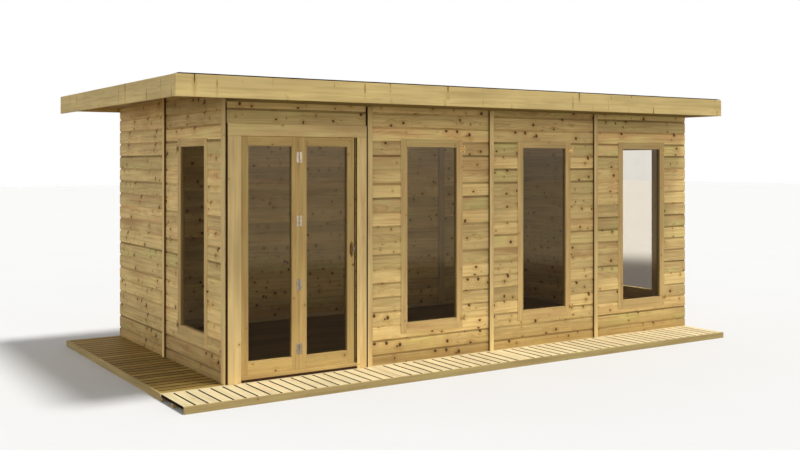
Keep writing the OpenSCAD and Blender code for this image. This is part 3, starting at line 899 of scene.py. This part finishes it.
# %% Battens of painted shade in the gaps
UPRIGHT_SIDES = ("-X", "+X", "-Y", "+Y")
gap_shadows = Timber(82)
strip_left = min(low.x for low, high in islands("cover_strips") if low.x > TRIM_RIGHT[1].x)
for left, right in ((BODY_LEFT + 0.0005, TRIM_LEFT[0].x), (TRIM_RIGHT[1].x, strip_left)):
    gap_shadows.board((left, BODY_FRONT - 0.003, DECK_TOP), (right, BODY_FRONT - 0.0002, EAVES), "Z",
        0.0003, UPRIGHT_SIDES)
gap_shadows.board((stop + 0.0004, BODY_FRONT + 0.008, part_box("door_sill")[1].z + 0.0005),
    (TRIM_RIGHT[0].x - 0.0004, BODY_FRONT + BOARDING_T - 0.0003, TRIM_RIGHT[1].z - 0.0005), "Z",
    0.0003, UPRIGHT_SIDES)
sill_low, sill_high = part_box("door_sill")
# the batten under the sill is painted shade in the gap
gap_shadows.board((sill_low.x + 0.0005, BODY_FRONT - 0.010, DECK_TOP + 0.0002),
    (sill_high.x - 0.0005, BODY_FRONT - 0.001, sill_low.z - 0.0002), "X", 0.0003,
    ("-Y", "+Z", "-Z"))
gap_shadows.piece("sealing_battens", gap_shade_pine, "framing_timber")

# %% [markdown]
# ## Strips over the joints
# A planed strip covers each joint between panels. Its narrow side edges get painted shade.

# %% Cover strips
strips = Timber(90)
for low, high in islands("cover_strips"):
    # the strips' narrow side edges get painted shade
    edges = ("-X", "+X") if long_axis(low, high) == "X" else ("-Y", "+Y")
    if high.y - low.y > 0.05:
        edges = ("+Y",)
    strips.board(low, high, "Z", 0.002, edges)
strips.piece("joint_strips", trim_pine, "trim_timber", "cover_strips")

# %% [markdown]
# ## Deck
# The deck is laid with narrow planed boards across its bearers, with gaps for the rain.
# Along the front it is in four sections, which meet without a gap. A board closes the edge.

# %% Deck boards
DECK_BOARD = 0.0785
DECK_PITCH = 0.0925
LEFT_DECK_BOARDS = 27
ON_END = Matrix(((1, 0, 0), (0, 0, 1), (0, -1, 0)))     # turns a row's Z to run towards the front


def board_row(size, count, pitch, seed, wood, ease, dark=()):
    """Boards laid side by side along Z from 0, their length along X, their thickness along Y."""
    one = Timber(seed)
    size = Vector(size)
    one.board(-size / 2, size / 2, "X", ease, dark)
    host = mesh_from(one.mesh, "one board")
    return run_tree(PLAIN_ROWS, host, {"Count": count, "Pitch": (0, 0, pitch), "Seed": seed,
        "Middle": (0, 0, 0), "Wood": wood})


def deck_count(a, b):
    """How many boards of the front deck lie between two cuts."""
    return round((b - a - DECK_BOARD) / DECK_PITCH) + 1


def deck_section(low, high, across, count, seed, wood):
    """One run of deck boards between two corners. Side by side they follow the axis across."""
    pitch = (high[across] - low[across] - DECK_BOARD) / (count - 1)
    length = high[1 - across] - low[1 - across]
    # the boards' long sides get painted shade, so the gaps between them read dark
    made = board_row((length, high.z - low.z, DECK_BOARD), count, pitch, seed, wood, 0.0025,
        ("-Z", "+Z"))
    middle = (low + high) / 2
    middle[across] = low[across] + DECK_BOARD / 2
    turn = Matrix(((0, 0, 1), (1, 0, 0), (0, 1, 0))) if across == 0 else ON_END
    made.transform(Matrix.Translation(middle) @ turn.to_4x4())
    return made


def joined(meshes, name):
    """Several meshes as one."""
    both = bmesh.new()
    for mesh in meshes:
        both.from_mesh(mesh)
    return mesh_from(both, name)


# the front deck's boards end at a flush rail under the wall
low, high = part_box("deck_front")
cuts = [low.x, BODY_LEFT + 1.22, BODY_LEFT + 2.42, BODY_LEFT + 3.62, high.x]
back_rail = 0.022
sections = []
for number, (a, b) in enumerate(zip(cuts, cuts[1:])):
    sections.append(deck_section(Vector((a, low.y, low.z)), Vector((b, high.y - back_rail, high.z)),
        0, deck_count(a, b), 100 + number, deck_pine))
keep("front_deck_boards", joined(sections, "front deck"), deck_pine, "deck_timber", "deck_front")
rails = Timber(105)
for a, b in zip(cuts, cuts[1:]):
    rails.board((a + 0.0004, high.y - back_rail + 0.0003, low.z), (b - 0.0004, high.y, high.z),
        "X", 0.0008)
rails.piece("front_deck_rail", deck_pine, "deck_timber", "deck_front")
low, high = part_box("deck_left")
side_boards = deck_section(low, high, 1, LEFT_DECK_BOARDS, 110, shaded_side_deck_pine)
keep("left_deck_boards", side_boards, shaded_side_deck_pine, "deck_timber", "deck_left")

# %% Edges and bearers of the deck and the floor
edges = Timber(120)
for low, high in islands("deck_edge_boards"):
    edges.board(low, high, long_axis(low, high), 0.002)
edges.piece("deck_edges", deck_edge_pine, "deck_timber", "deck_edge_boards")
bearers = Timber(121)
for node in ("deck_bearers", "floor_bearers"):
    for low, high in islands(node):
        bearers.board(low, high, long_axis(low, high), 0.002)
bearers.piece("bearers", frame_pine, "framing_timber", "deck_bearers", "floor_bearers")

# %% [markdown]
# ## Floor
# The floor is tongued boards laid along the room, so only a fine line shows at each joint.

# %% Floor boards
low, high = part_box("floor")
count = 24
pitch = (high.y - low.y) / count
boards = board_row((high.x - low.x, high.z - low.z, pitch - 0.0008), count, pitch, 130,
    floor_pine, 0.0012)
boards.transform(Matrix.Translation(((low.x + high.x) / 2, low.y + pitch / 2, (low.z + high.z) / 2))
    @ ON_END.to_4x4())
keep("floor_boards", boards, floor_pine, "floor_timber", "floor")

# %% [markdown]
# ## Roof
# Joists run from front to back and carry tongued boards, which fall slightly to the back.
# Fascia boards close the edges, a soffit closes the underside of the front overhang, and
# mineral felt covers it all.

# %% Roof joists, boards and edges
def highest(node, y):
    """The top of a node at one end of its fall."""
    return max(v.co.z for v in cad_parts[node].data.vertices if abs(v.co.y - y) < 0.002)


low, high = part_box("roof_boarding")
front_top, back_top = highest("roof_boarding", low.y), highest("roof_boarding", high.y)
fall = math.atan2(front_top - back_top, high.y - low.y)
slope_run = math.hypot(high.y - low.y, front_top - back_top)
count = 28
pitch = slope_run / count
boards = board_row((high.x - low.x, 0.019, pitch - 0.0010), count, pitch, 140, frame_pine, 0.0012)
boards.transform(Matrix.Translation(((low.x + high.x) / 2, low.y, front_top))
    @ Matrix.Rotation(-fall, 4, "X") @ Matrix.Translation((0, pitch / 2, -0.010))
    @ ON_END.to_4x4())
keep("roof_boards", boards, frame_pine, "framing_timber", "roof_boarding")

joists = Timber(141)
for low, high in islands("roof_joists"):
    drop = math.tan(fall) * (high.y - low.y)
    joists.board((low.x, low.y, low.z + drop), high, "Y", 0.002,
        bend=lambda p, y0=low.y: Vector((p.x, p.y, p.z - math.tan(fall) * (p.y - y0))))
joists.piece("joists", frame_pine, "framing_timber", "roof_joists")

edge = Timber(142)
FASCIAS = ("fascia_front", "fascia_back", "fascia_left", "fascia_right")
for node in FASCIAS:
    edge.board(*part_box(node), long_axis(*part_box(node)), 0.003)
edge.piece("fascia_boards", fascia_pine, "fascia_timber", *FASCIAS)
soffit = Timber(143)
low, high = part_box("soffit_front")
# the soffit board's front and back edges get painted shade
soffit.board((low.x, low.y + 0.007, low.z + 0.004), (high.x, high.y - 0.004, high.z), "X",
    0.002, ("-Y", "+Y"))
low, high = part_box("soffit_end")
soffit.board(low, high, "Y", 0.002, bend=lambda p: Vector((p.x, p.y,
    p.z - (math.tan(fall) * (p.y - low.y) if p.z > low.z + 0.02 else 0))))
soffit.piece("soffit_boards", soffit_pine, "fascia_timber", "soffit_front", "soffit_end")

# %% Felt
FELT_STEP = 0.0028                          # each width of felt lies this much over the last
FELT_WAVE = 0.0003


def felt_sheet():
    """Three lapped widths of felt over the boards, with a turned edge."""
    low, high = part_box("roof_covering")
    top_front, top_back = high.z, highest("roof_covering", high.y)
    widths, lap = 3, 0.08
    span = (high.y - low.y + lap * (widths - 1)) / widths
    solid = bmesh.new()
    columns = 60
    for number in range(widths):
        y0 = max(high.y - span * (number + 1) + lap * number, low.y)
        y1 = min(y0 + span, high.y)
        raised = FELT_STEP * number
        rows = []
        steps = [0, 0.02, 0.5, 0.9, 1]
        for z_off in (0.0, -0.0024):
            for s in steps:
                y = y0 + (y1 - y0) * s
                rest = top_front + (top_back - top_front) * (y - low.y) / (high.y - low.y)
                rows.append([solid.verts.new((low.x + (high.x - low.x) * c / columns, y,
                    rest - 0.0062 + z_off + raised
                    + FELT_WAVE * math.sin(c * 1.7 + number * 2 + s * 9)))
                    for c in range(columns + 1)])
        n = len(steps)
        for c in range(columns):
            for r in range(n - 1):
                solid.faces.new((rows[r][c], rows[r][c + 1], rows[r + 1][c + 1], rows[r + 1][c]))
                solid.faces.new((rows[n + r][c], rows[n + r + 1][c], rows[n + r + 1][c + 1],
                    rows[n + r][c + 1]))
            solid.faces.new((rows[0][c], rows[n][c], rows[n][c + 1], rows[0][c + 1]))
            solid.faces.new((rows[n - 1][c], rows[n - 1][c + 1], rows[2 * n - 1][c + 1],
                rows[2 * n - 1][c]))
        for r in range(n - 1):
            solid.faces.new((rows[r][0], rows[r + 1][0], rows[n + r + 1][0], rows[n + r][0]))
            solid.faces.new((rows[r][-1], rows[n + r][-1], rows[n + r + 1][-1], rows[r + 1][-1]))
    bmesh.ops.recalc_face_normals(solid, faces=solid.faces)
    return mesh_from(solid, "felt")


keep("roof_felt_sheets", felt_sheet(), felt, "roof_felt", "roof_covering")

# %% [markdown]
# ## Hinges
# The windows hang on brass butterfly hinges, whose leaves are wider at their ends than at the
# knuckle. The two door leaves fold on plain zinc butt hinges. Both are cut from plate: an
# outline is drawn, given its thickness, and its arrises are bevelled.

# %% Plates cut to an outline
def plate(solid, outline, thickness, turned, ease=0.0004):
    """Adds a flat plate to solid. The outline is in x and z, and the plate's back is at y = 0."""
    one = bmesh.new()
    face = one.faces.new([one.verts.new((x, 0, z)) for x, z in outline])
    made = bmesh.ops.extrude_face_region(one, geom=[face])
    bmesh.ops.translate(one, verts=[v for v in made["geom"] if isinstance(v, bmesh.types.BMVert)],
        vec=(0, -thickness, 0))
    bmesh.ops.recalc_face_normals(one, faces=one.faces)
    rim = [e for e in one.edges if all(v.co.y < -thickness / 2 for v in e.verts)]
    bmesh.ops.bevel(one, geom=rim, offset=ease, segments=1, affect="EDGES")
    add(solid, one, turned)


def add(solid, one, turned):
    """Moves a small mesh to its place and adds it to a larger one."""
    bmesh.ops.transform(one, matrix=turned, verts=one.verts)
    loose = mesh_from(one, "part")
    solid.from_mesh(loose)
    bpy.data.meshes.remove(loose)


def rod(solid, points, radii, turned, sides=12):
    """Adds a round rod along points, closed at its ends. radii has one radius for each point."""
    one = bmesh.new()
    rings = []
    points = [Vector(p) for p in points]
    for i, p in enumerate(points):
        ahead = (points[min(i + 1, len(points) - 1)] - points[max(i - 1, 0)]).normalized()
        aside = Vector((1, 0, 0)) if abs(ahead.x) < 0.9 else Vector((0, 1, 0))
        side = ahead.cross(aside).normalized()
        other = ahead.cross(side)
        rings.append([one.verts.new(p + (side * math.cos(t) + other * math.sin(t)) * radii[i])
            for t in (2 * math.pi * k / sides for k in range(sides))])
    for a, b in zip(rings, rings[1:]):
        for k in range(sides):
            one.faces.new((a[k], a[(k + 1) % sides], b[(k + 1) % sides], b[k]))
    one.faces.new(rings[0][::-1])
    one.faces.new(rings[-1])
    bmesh.ops.recalc_face_normals(one, faces=one.faces)
    add(solid, one, turned)


def finished(solid, name, material, slot, *nodes):
    """A fitting's mesh as a piece."""
    mesh = mesh_from(solid, name)
    return keep(name, mesh, material, slot, *nodes)


print("plate and rod ready")

# %% Butterfly hinges of the windows
SCREWS = []                                 # each head's place, aim, size and finish
OUTWARD = Vector((0, -1, 0))                # out of a wall


def wing(reach, tall, waist):
    """A butterfly leaf: narrow at the knuckle, with hollow ends and a round outer edge."""
    top = [(reach * t, waist / 2 + (tall - waist) / 2 * t ** 2.2)
        for t in (0, 0.2, 0.4, 0.6, 0.8, 1.0)]
    outer = [(reach + 0.0035 * math.cos(a), tall / 2 * math.sin(a))
        for a in (math.radians(d) for d in (60, 40, 20, 0, -20, -40, -60))]
    return top + outer + [(x, -z) for x, z in reversed(top)]


hinges = bmesh.new()
for number, (wall, node) in enumerate(WINDOWS):
    turned = wall_place(wall)
    low, high = on_wall(wall, node)
    hinge_x = low.x if wall == "left" else high.x
    outward = -1 if wall == "left" else 1
    for z in (low.z + 0.076, high.z - 0.076):
        place_at = turned @ Matrix.Translation((hinge_x, 0, z))
        flipped = place_at @ Matrix.Diagonal((outward, 1, 1, 1))
        plate(hinges, wing(0.020, 0.070, 0.018), 0.0018,
            flipped @ Matrix.Translation((0.004, 0, 0)))
        plate(hinges, [(-x, z) for x, z in wing(0.016, 0.046, 0.018)], 0.0018,
            flipped @ Matrix.Translation((-0.004, -0.0041, 0)))
        for a, b in ((-0.009, -0.0032), (-0.0029, 0.0029), (0.0032, 0.009)):
            rod(hinges, ((0, -0.004, a), (0, -0.004, b)), (0.0036, 0.0036), place_at)
        for x, dz in ((0.0165, 0.021), (0.0165, -0.021), (-0.0135, 0.013), (-0.0135, -0.013)):
            SCREWS.append((place_at @ Vector((x * outward, -0.0018 if x > 0 else -0.0059, dz)),
                turned.to_3x3() @ OUTWARD, 0.0028, "brass"))
finished(hinges, "butterfly_hinges", brass, "hinge_brass", "window_hinges")

# %% Butt hinges between the door leaves
hinges = bmesh.new()
turned = wall_place("front")
for low, high in islands("door_hinges"):
    middle = turned.inverted() @ ((low + high) / 2)
    place_at = turned @ Matrix.Translation((middle.x, 0, middle.z))
    half, tall, knuckle = 0.0230, 0.080, 0.0040
    for side in (-1, 1):
        corners = [(knuckle * 0.9, -tall / 2), (half - 0.004, -tall / 2), (half, -tall / 2 + 0.004),
            (half, tall / 2 - 0.004), (half - 0.004, tall / 2), (knuckle * 0.9, tall / 2)]
        plate(hinges, [(x * side, z) for x, z in corners], 0.0018, place_at)
        for dz in (-0.027, 0.0, 0.027):
            at = place_at @ Vector((side * 0.0145, -0.0018, dz))
            SCREWS.append((at, OUTWARD, 0.0034, "zinc"))
    for k in range(5):
        z0 = -tall / 2 + k * tall / 5
        rod(hinges, ((0, -0.0018, z0 + 0.0004), (0, -0.0018, z0 + tall / 5 - 0.0004)),
            (knuckle, knuckle), place_at)
finished(hinges, "butt_hinges", zinc, "hinge_steel", "door_hinges")

# %% [markdown]
# ## Door handle
# A bowed pull on a long brown plate with pointed ends, and a round cover over the keyhole.
# The bow is a rod that swells in the middle, swept along an arc between two feet.

# %% Handle
parts = sorted(islands("door_handle"), key=lambda b: b[1].z - b[0].z)
round_cover, bow_plate = parts[0], parts[-1]
middle = turned.inverted() @ ((bow_plate[0] + bow_plate[1]) / 2)
place_at = turned @ Matrix.Translation((middle.x, 0, middle.z))
handle = bmesh.new()
plate_tall, plate_wide = 0.124, 0.034
edge_points = [math.radians(d) for d in range(0, 360, 15)]
plate(handle, [(plate_wide / 2 * math.copysign(abs(math.sin(t)) ** 1.4, math.sin(t)),
    plate_tall / 2 * math.cos(t)) for t in edge_points], 0.0025, place_at, 0.0008)
finished(handle, "handle_plate", old_brass, "handle_metal", "door_handle")
bow = bmesh.new()
arc = []
for i in range(13):
    t = math.pi * i / 12
    arc.append((0, -0.002 - 0.030 * math.sin(t) ** 0.8, 0.036 * math.cos(t)))
rod(bow, arc, [0.0042 + 0.0022 * math.sin(math.pi * i / 12) for i in range(13)], place_at, 14)
finished(bow, "handle_bow", zinc, "handle_metal", "door_handle")
cover = bmesh.new()
middle = turned.inverted() @ ((round_cover[0] + round_cover[1]) / 2)
cover_at = turned @ Matrix.Translation((middle.x, 0, middle.z))
for radius, out in ((0.009, 0.0024), (0.0055, 0.0030)):
    rod(cover, ((0, 0, 0), (0, -out * 0.7, 0), (0, -out, 0)), (radius, radius, radius * 0.8),
        cover_at, 20)
finished(cover, "keyhole_cover", old_brass, "handle_metal", "door_handle")
for dz in (-0.050, 0.050):
    SCREWS.append((place_at @ Vector((0, -0.0025, dz)), OUTWARD, 0.0030, "brass"))

# %% [markdown]
# ## Screws and nails, by Geometry Nodes
# Every screw, board nail and clout nail is the same small domed head, so one tree puts a head
# on each point of a host mesh, turned to the point's `aim` and scaled by its `size`, with a
# random turn round its own axis. The heads are small, so each has only a few faces.

# %% The tree for heads on points
def head_mesh():
    """A domed head of radius 1 with a slot, standing on z = 0."""
    solid = bmesh.new()
    sides = 10
    rings = []
    for radius, z in ((1.0, -0.30), (1.0, 0.10), (0.72, 0.30), (0.30, 0.34)):
        rings.append([solid.verts.new((radius * math.cos(2 * math.pi * k / sides),
            radius * math.sin(2 * math.pi * k / sides), z)) for k in range(sides)])
    for a, b in zip(rings, rings[1:]):
        for k in range(sides):
            solid.faces.new((a[k], a[(k + 1) % sides], b[(k + 1) % sides], b[k]))
    sunk = [solid.verts.new((v.co.x * 0.8, v.co.y * 0.8, 0.12)) for v in rings[-1]]
    for k in range(sides):
        solid.faces.new((rings[-1][k], rings[-1][(k + 1) % sides], sunk[(k + 1) % sides], sunk[k]))
    solid.faces.new(sunk)
    solid.faces.new(rings[0][::-1])
    bmesh.ops.recalc_face_normals(solid, faces=solid.faces)
    mesh = mesh_from(solid, "head")
    return bpy.data.objects.new("head", mesh)


def heads_tree():
    n, g, out = new_group("heads on points", "GeometryNodeTree", (
        ("Geometry", "Geometry"), ("Head", "Object"), ("Seed", "Int"), ("Metal", "Material")),
        (("Geometry", "Geometry"),))
    head = n.place("GeometryNodeObjectInfo", {"Object": g["Head"]}).outputs["Geometry"]
    turn = n.place("FunctionNodeAlignEulerToVector", {"Vector": n.named("aim", "FLOAT_VECTOR")},
        axis="Z").outputs[0]
    flow = n.place("GeometryNodeInstanceOnPoints", {"Points": g["Geometry"], "Instance": head,
        "Rotation": turn, "Scale": n.named("size")}).outputs[0]
    spin = n.place("FunctionNodeRandomValue", {2: 0.0, 3: 6.28, "Seed": g["Seed"]},
        data_type="FLOAT").outputs[1]
    flow = n.place("GeometryNodeRotateInstances", {"Instances": flow,
        "Rotation": n.packed(0.0, 0.0, spin)}).outputs[0]
    flow = n.place("GeometryNodeRealizeInstances", [flow]).outputs[0]
    n.feed(out[0], n.place("GeometryNodeSetMaterial", {"Geometry": flow,
        "Material": g["Metal"]}).outputs[0])
    return n.tree


HEADS, HEAD = heads_tree(), head_mesh()
bpy.context.scene.collection.objects.link(HEAD)


def heads(name, points, metal, slot, seed):
    """One piece with a head at each point, given as place, aim and size."""
    host = bpy.data.meshes.new("points")
    host.from_pydata([p for p, _, _ in points], [], [])
    aim = host.attributes.new("aim", "FLOAT_VECTOR", "POINT")
    size = host.attributes.new("size", "FLOAT", "POINT")
    for i, (_, way, radius) in enumerate(points):
        aim.data[i].vector = way
        size.data[i].value = radius
    made = run_tree(HEADS, host, {"Head": HEAD, "Seed": seed, "Metal": metal})
    for label in ("aim", "size"):
        if label in made.attributes:
            made.attributes.remove(made.attributes[label])
    return keep(name, made, metal, slot)


print("heads tree", len(HEADS.nodes), "nodes, head", len(HEAD.data.polygons), "faces")

# %% Screws of the fittings
for finish, metal, slot, seed in (("brass", old_brass, "hinge_brass", 200),
        ("zinc", old_zinc, "hinge_steel", 201)):
    own = [screw[:3] for screw in SCREWS if screw[3] == finish]
    heads(finish + "_screws", own, metal, slot, seed)

# %% Nails of the wall boards
def nails_on(wall, nodes, opening):
    """Two nails at each end of each board, and on each side of an opening."""
    low, high = on_wall(wall, *nodes)
    tops = top_ends(wall, nodes[0]) if wall in ("left", "right") else [high.z, high.z]
    hole_low, hole_high = on_wall(wall, *opening) if opening else (None, None)
    turned = wall_place(wall)
    chance = random.Random(nodes[0])
    found = []
    ends = [low.x + 0.034, high.x - 0.034]
    if opening:
        ends += [hole_low.x - 0.014, hole_high.x + 0.014]
    for x in ends:
        beside = not opening or not hole_low.x - 0.02 < x < hole_high.x + 0.02
        top = tops[0] + (tops[1] - tops[0]) * (x - low.x) / (high.x - low.x)
        z = FIRST_ROW + 0.028
        while z < top - 0.02:
            for dz in (0.0, 0.048):
                at = z + dz + chance.uniform(-0.004, 0.004)
                clear = beside or not hole_low.z - 0.02 < at < hole_high.z + 0.02
                if (clear or opening) and low.z + 0.012 < at < top - 0.02:
                    found.append((turned @ Vector((x + chance.uniform(-0.004, 0.004), -0.0002, at)),
                        turned.to_3x3() @ OUTWARD, 0.0026))
            z += ROW
    return found


nails = nails_on("front", ["over_door_panel", "door_post_left", "door_post_right"], None)
nails = [n for n in nails if n[0].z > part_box("door_head_trim")[1].z]
for number in (2, 3, 4):
    nails += nails_on("front", [f"front_panel_{number}"], [f"window_frame_front_{number}"])
for side in ("left", "right"):
    nails += nails_on(side, [f"{side}_panel_front"], [f"window_frame_{side}"])
    nails += nails_on(side, [f"{side}_panel_back"], None)
for number in (1, 2, 3, 4):
    nails += nails_on("back", [f"back_panel_{number}"], None)
heads("board_nails", nails, old_zinc, "hinge_steel", 202)

# %% Screws of the deck, the trim and the roof edge, and the felt's clout nails
screws = []
up, out_left = Vector((0, 0, 1)), Vector((-1, 0, 0))
low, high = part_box("deck_front")
for a, b in zip(cuts, cuts[1:]):
    count = deck_count(a, b)
    for i in range(count):
        x = a + DECK_BOARD / 2 + i * (b - a - DECK_BOARD) / (count - 1)
        for y in (high.y - 0.040, low.y + 0.215):
            for dx in (-0.022, 0.022):
                screws.append((Vector((x + dx, y, high.z - 0.0004)), up, 0.0036))
low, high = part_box("deck_left")
for i in range(LEFT_DECK_BOARDS):
    y = low.y + DECK_BOARD / 2 + i * (high.y - low.y - DECK_BOARD) / (LEFT_DECK_BOARDS - 1)
    for x in (high.x - 0.030, low.x + 0.215):
        for dy in (-0.022, 0.022):
            screws.append((Vector((x, y + dy, high.z - 0.0004)), up, 0.0036))
front_strips = [b for b in islands("cover_strips") if b[0].y < BODY_FRONT - 0.01]
for low, high in [TRIM_LEFT, TRIM_RIGHT] + front_strips:
    for k in range(5):
        z = low.z + 0.10 + k * (high.z - low.z - 0.20) / 4
        screws.append((Vector(((low.x + high.x) / 2, low.y - 0.0002, z)), OUTWARD, 0.0034))
low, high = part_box("fascia_front")
for k in range(9):
    for dz in (0.035, 0.115):
        x = low.x + 0.03 + k * (high.x - low.x - 0.06) / 8
        screws.append((Vector((x, low.y - 0.0002, low.z + dz)), OUTWARD, 0.0034))
low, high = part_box("fascia_left")
for k in range(6):
    for dz in (0.035, 0.115):
        y = low.y + 0.10 + k * (high.y - low.y - 0.2) / 5
        screws.append((Vector((low.x - 0.0002, y, low.z + dz)), out_left, 0.0034))
heads("timber_screws", [(p - way * 0.0008, way, size) for p, way, size in screws], old_zinc,
    "hinge_steel", 203)
low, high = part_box("roof_covering")
clouts = []
for k in range(48):
    x = low.x + 0.04 + k * (high.x - low.x - 0.08) / 47
    for y in (low.y + 0.012, high.y - 0.012):
        rest = high.z + (highest("roof_covering", high.y) - high.z) * (y - low.y) / (high.y - low.y)
        clouts.append((Vector((x, y, rest - 0.0032)), up, 0.0042))
heads("clout_nails", clouts, old_zinc, "roof_felt", 204)
bpy.data.objects.remove(HEAD)

# %% [markdown]
# ## Stage and light
# A plain pale floor and a pale sky give soft light from everywhere. One soft sun stands
# high to the front right: it lights the deck and the roof's edge, leaves the upper walls
# in the shade of the roof, and lays a soft shadow on the floor along the left side. Through
# the glass and in reflections the floor near the pod is grey, reflections to the left are
# dark, and a weak lamp inside shows the room.

# %% Stage and lamps
def seen_ray(n):
    """1 for what is looked at, straight or through glass, and 0 for light that bounces."""
    rays = n.place("ShaderNodeLightPath").outputs
    looked = n.math("MAXIMUM", rays["Is Camera Ray"], rays["Is Transmission Ray"])
    bounces = n.plus(rays["Diffuse Depth"], rays["Glossy Depth"])
    return n.times(looked, n.math("LESS_THAN", bounces, 0.5))


def mirrored_ray(n):
    """1 for what is seen in a reflection."""
    rays = n.place("ShaderNodeLightPath").outputs
    return n.times(n.math("GREATER_THAN", rays["Glossy Depth"], 0.5),
        n.math("LESS_THAN", rays["Diffuse Depth"], 0.5))


FLOOR_HALF = 60.0                           # half the side of the floor
FLOOR_FADE = (7.4, 10.6)                    # it pales between these distances from the pod
LIT_FLOOR = (0.24, 0.225, 0.20)             # what the floor is to light that bounces


def floor_surface(n):
    """Pale to the camera, grey near the pod through glass, and warmer in reflections."""
    where = n.here()
    pale = n.blend(n.noise(where, 0.8, 2.0), (0.77, 0.79, 0.82), (0.79, 0.81, 0.84))
    away = n.place("ShaderNodeVectorMath", [where], operation="LENGTH").outputs["Value"]
    round_about = n.blend(n.ramp(away, *FLOOR_FADE), (0.168, 0.158, 0.154), (0.87, 0.85, 0.84))
    warm = n.blend(1.0, round_about, (0.66, 0.56, 0.38), "MULTIPLY")
    left = n.ramp(n.xyz(where)[0], -4.0, -2.0, 1.0, 0.0)
    mirrored = n.blend(left, warm, (0.012, 0.010, 0.008))
    colour = n.blend(mirrored_ray(n), LIT_FLOOR, mirrored)
    colour = n.blend(seen_ray(n), colour, round_about)
    camera_ray = n.place("ShaderNodeLightPath").outputs["Is Camera Ray"]
    return n.skin({"Base Color": n.blend(camera_ray, colour, pale), "Roughness": 0.9,
        "Specular IOR Level": 0.1})


def stage_floor():
    mesh = bpy.data.meshes.new("stage floor")
    corners = [(x * FLOOR_HALF, y * FLOOR_HALF, 0) for x, y in ((-1, -1), (1, -1), (1, 1), (-1, 1))]
    mesh.from_pydata(corners, [], [(0, 1, 2, 3)])
    floor = linked("stage_floor", mesh)
    mesh.materials.append(new_material("pale floor", floor_surface))
    floor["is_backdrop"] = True


def lamp(name, kind, aim, **settings):
    """A lamp that shines along a direction."""
    made = linked(name, bpy.data.lights.new(name, kind))
    for key, value in settings.items():
        setattr(made.data, key, value)
    made.rotation_euler = Vector(aim).to_track_quat("-Z", "Y").to_euler()
    return made


def sky_surface(n):
    """Brighter overhead, white to the eye, and dark to the left in reflections."""
    way = n.xyz(n.place("ShaderNodeTexCoord").outputs["Generated"])
    glossy = mirrored_ray(n)
    dark_left = n.times(n.ramp(way[0], -0.3, 0.3, 0.02, 1.0),
        n.ramp(way[2], -0.06, 0.14, 0.30, 1.0))
    lean = n.plus(n.ramp(way[0], -0.8, 0.2, 1.10, 0.94), n.ramp(way[1], -0.8, 0.2, 0.07, 0.0))
    bias = n.place("ShaderNodeMix", {"Factor": glossy, "A": lean, "B": dark_left}).outputs[0]
    sky = n.place("ShaderNodeBackground", {
        "Strength": n.times(n.ramp(way[2], 0.0, 0.60, 1.62, 0.30), bias),
        "Color": n.blend(glossy, (1.0, 0.985, 0.96), (1.0, 0.86, 0.64))}).outputs[0]
    white = n.place("ShaderNodeBackground", [(1, 1, 1, 1), 1.0]).outputs[0]
    return n.place("ShaderNodeMixShader", [seen_ray(n), sky, white]).outputs[0]


stage_floor()
lamp("soft sun", "SUN", (-0.53, 0.60, -2.2), energy=2.65, angle=math.radians(11),
    color=(1.0, 0.97, 0.92))
room_lamp = lamp("room lamp", "AREA", (0, 2.0, -0.35), shape="RECTANGLE", size=4.2, size_y=0.1,
    energy=1.4, color=(0.90, 0.80, 0.66), spread=math.radians(90))
room_lamp.location = (0.25, BODY_FRONT + 0.35, 2.0)
room_lamp.visible_camera = False
world = bpy.data.worlds.new("pale sky")
bpy.context.scene.world = world
world.use_nodes = True
world.node_tree.nodes.clear()
sky_nodes = Nodes(world.node_tree)
sky_nodes.place("ShaderNodeOutputWorld", [sky_surface(sky_nodes)])
bpy.context.scene.view_settings.view_transform = "Standard"

# %% [markdown]
# ## Sizes
# The pod's box from the design and the box of the finished looks are printed side by side.

# %% Write the sizes and finish
low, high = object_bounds()
{"cad": [list(cad_low), list(cad_high)], "visual": [list(low), list(high)]}
print("cad", [round(v, 4) for v in (*cad_low, *cad_high)])
print("visual", [round(v, 4) for v in (*low, *high)])
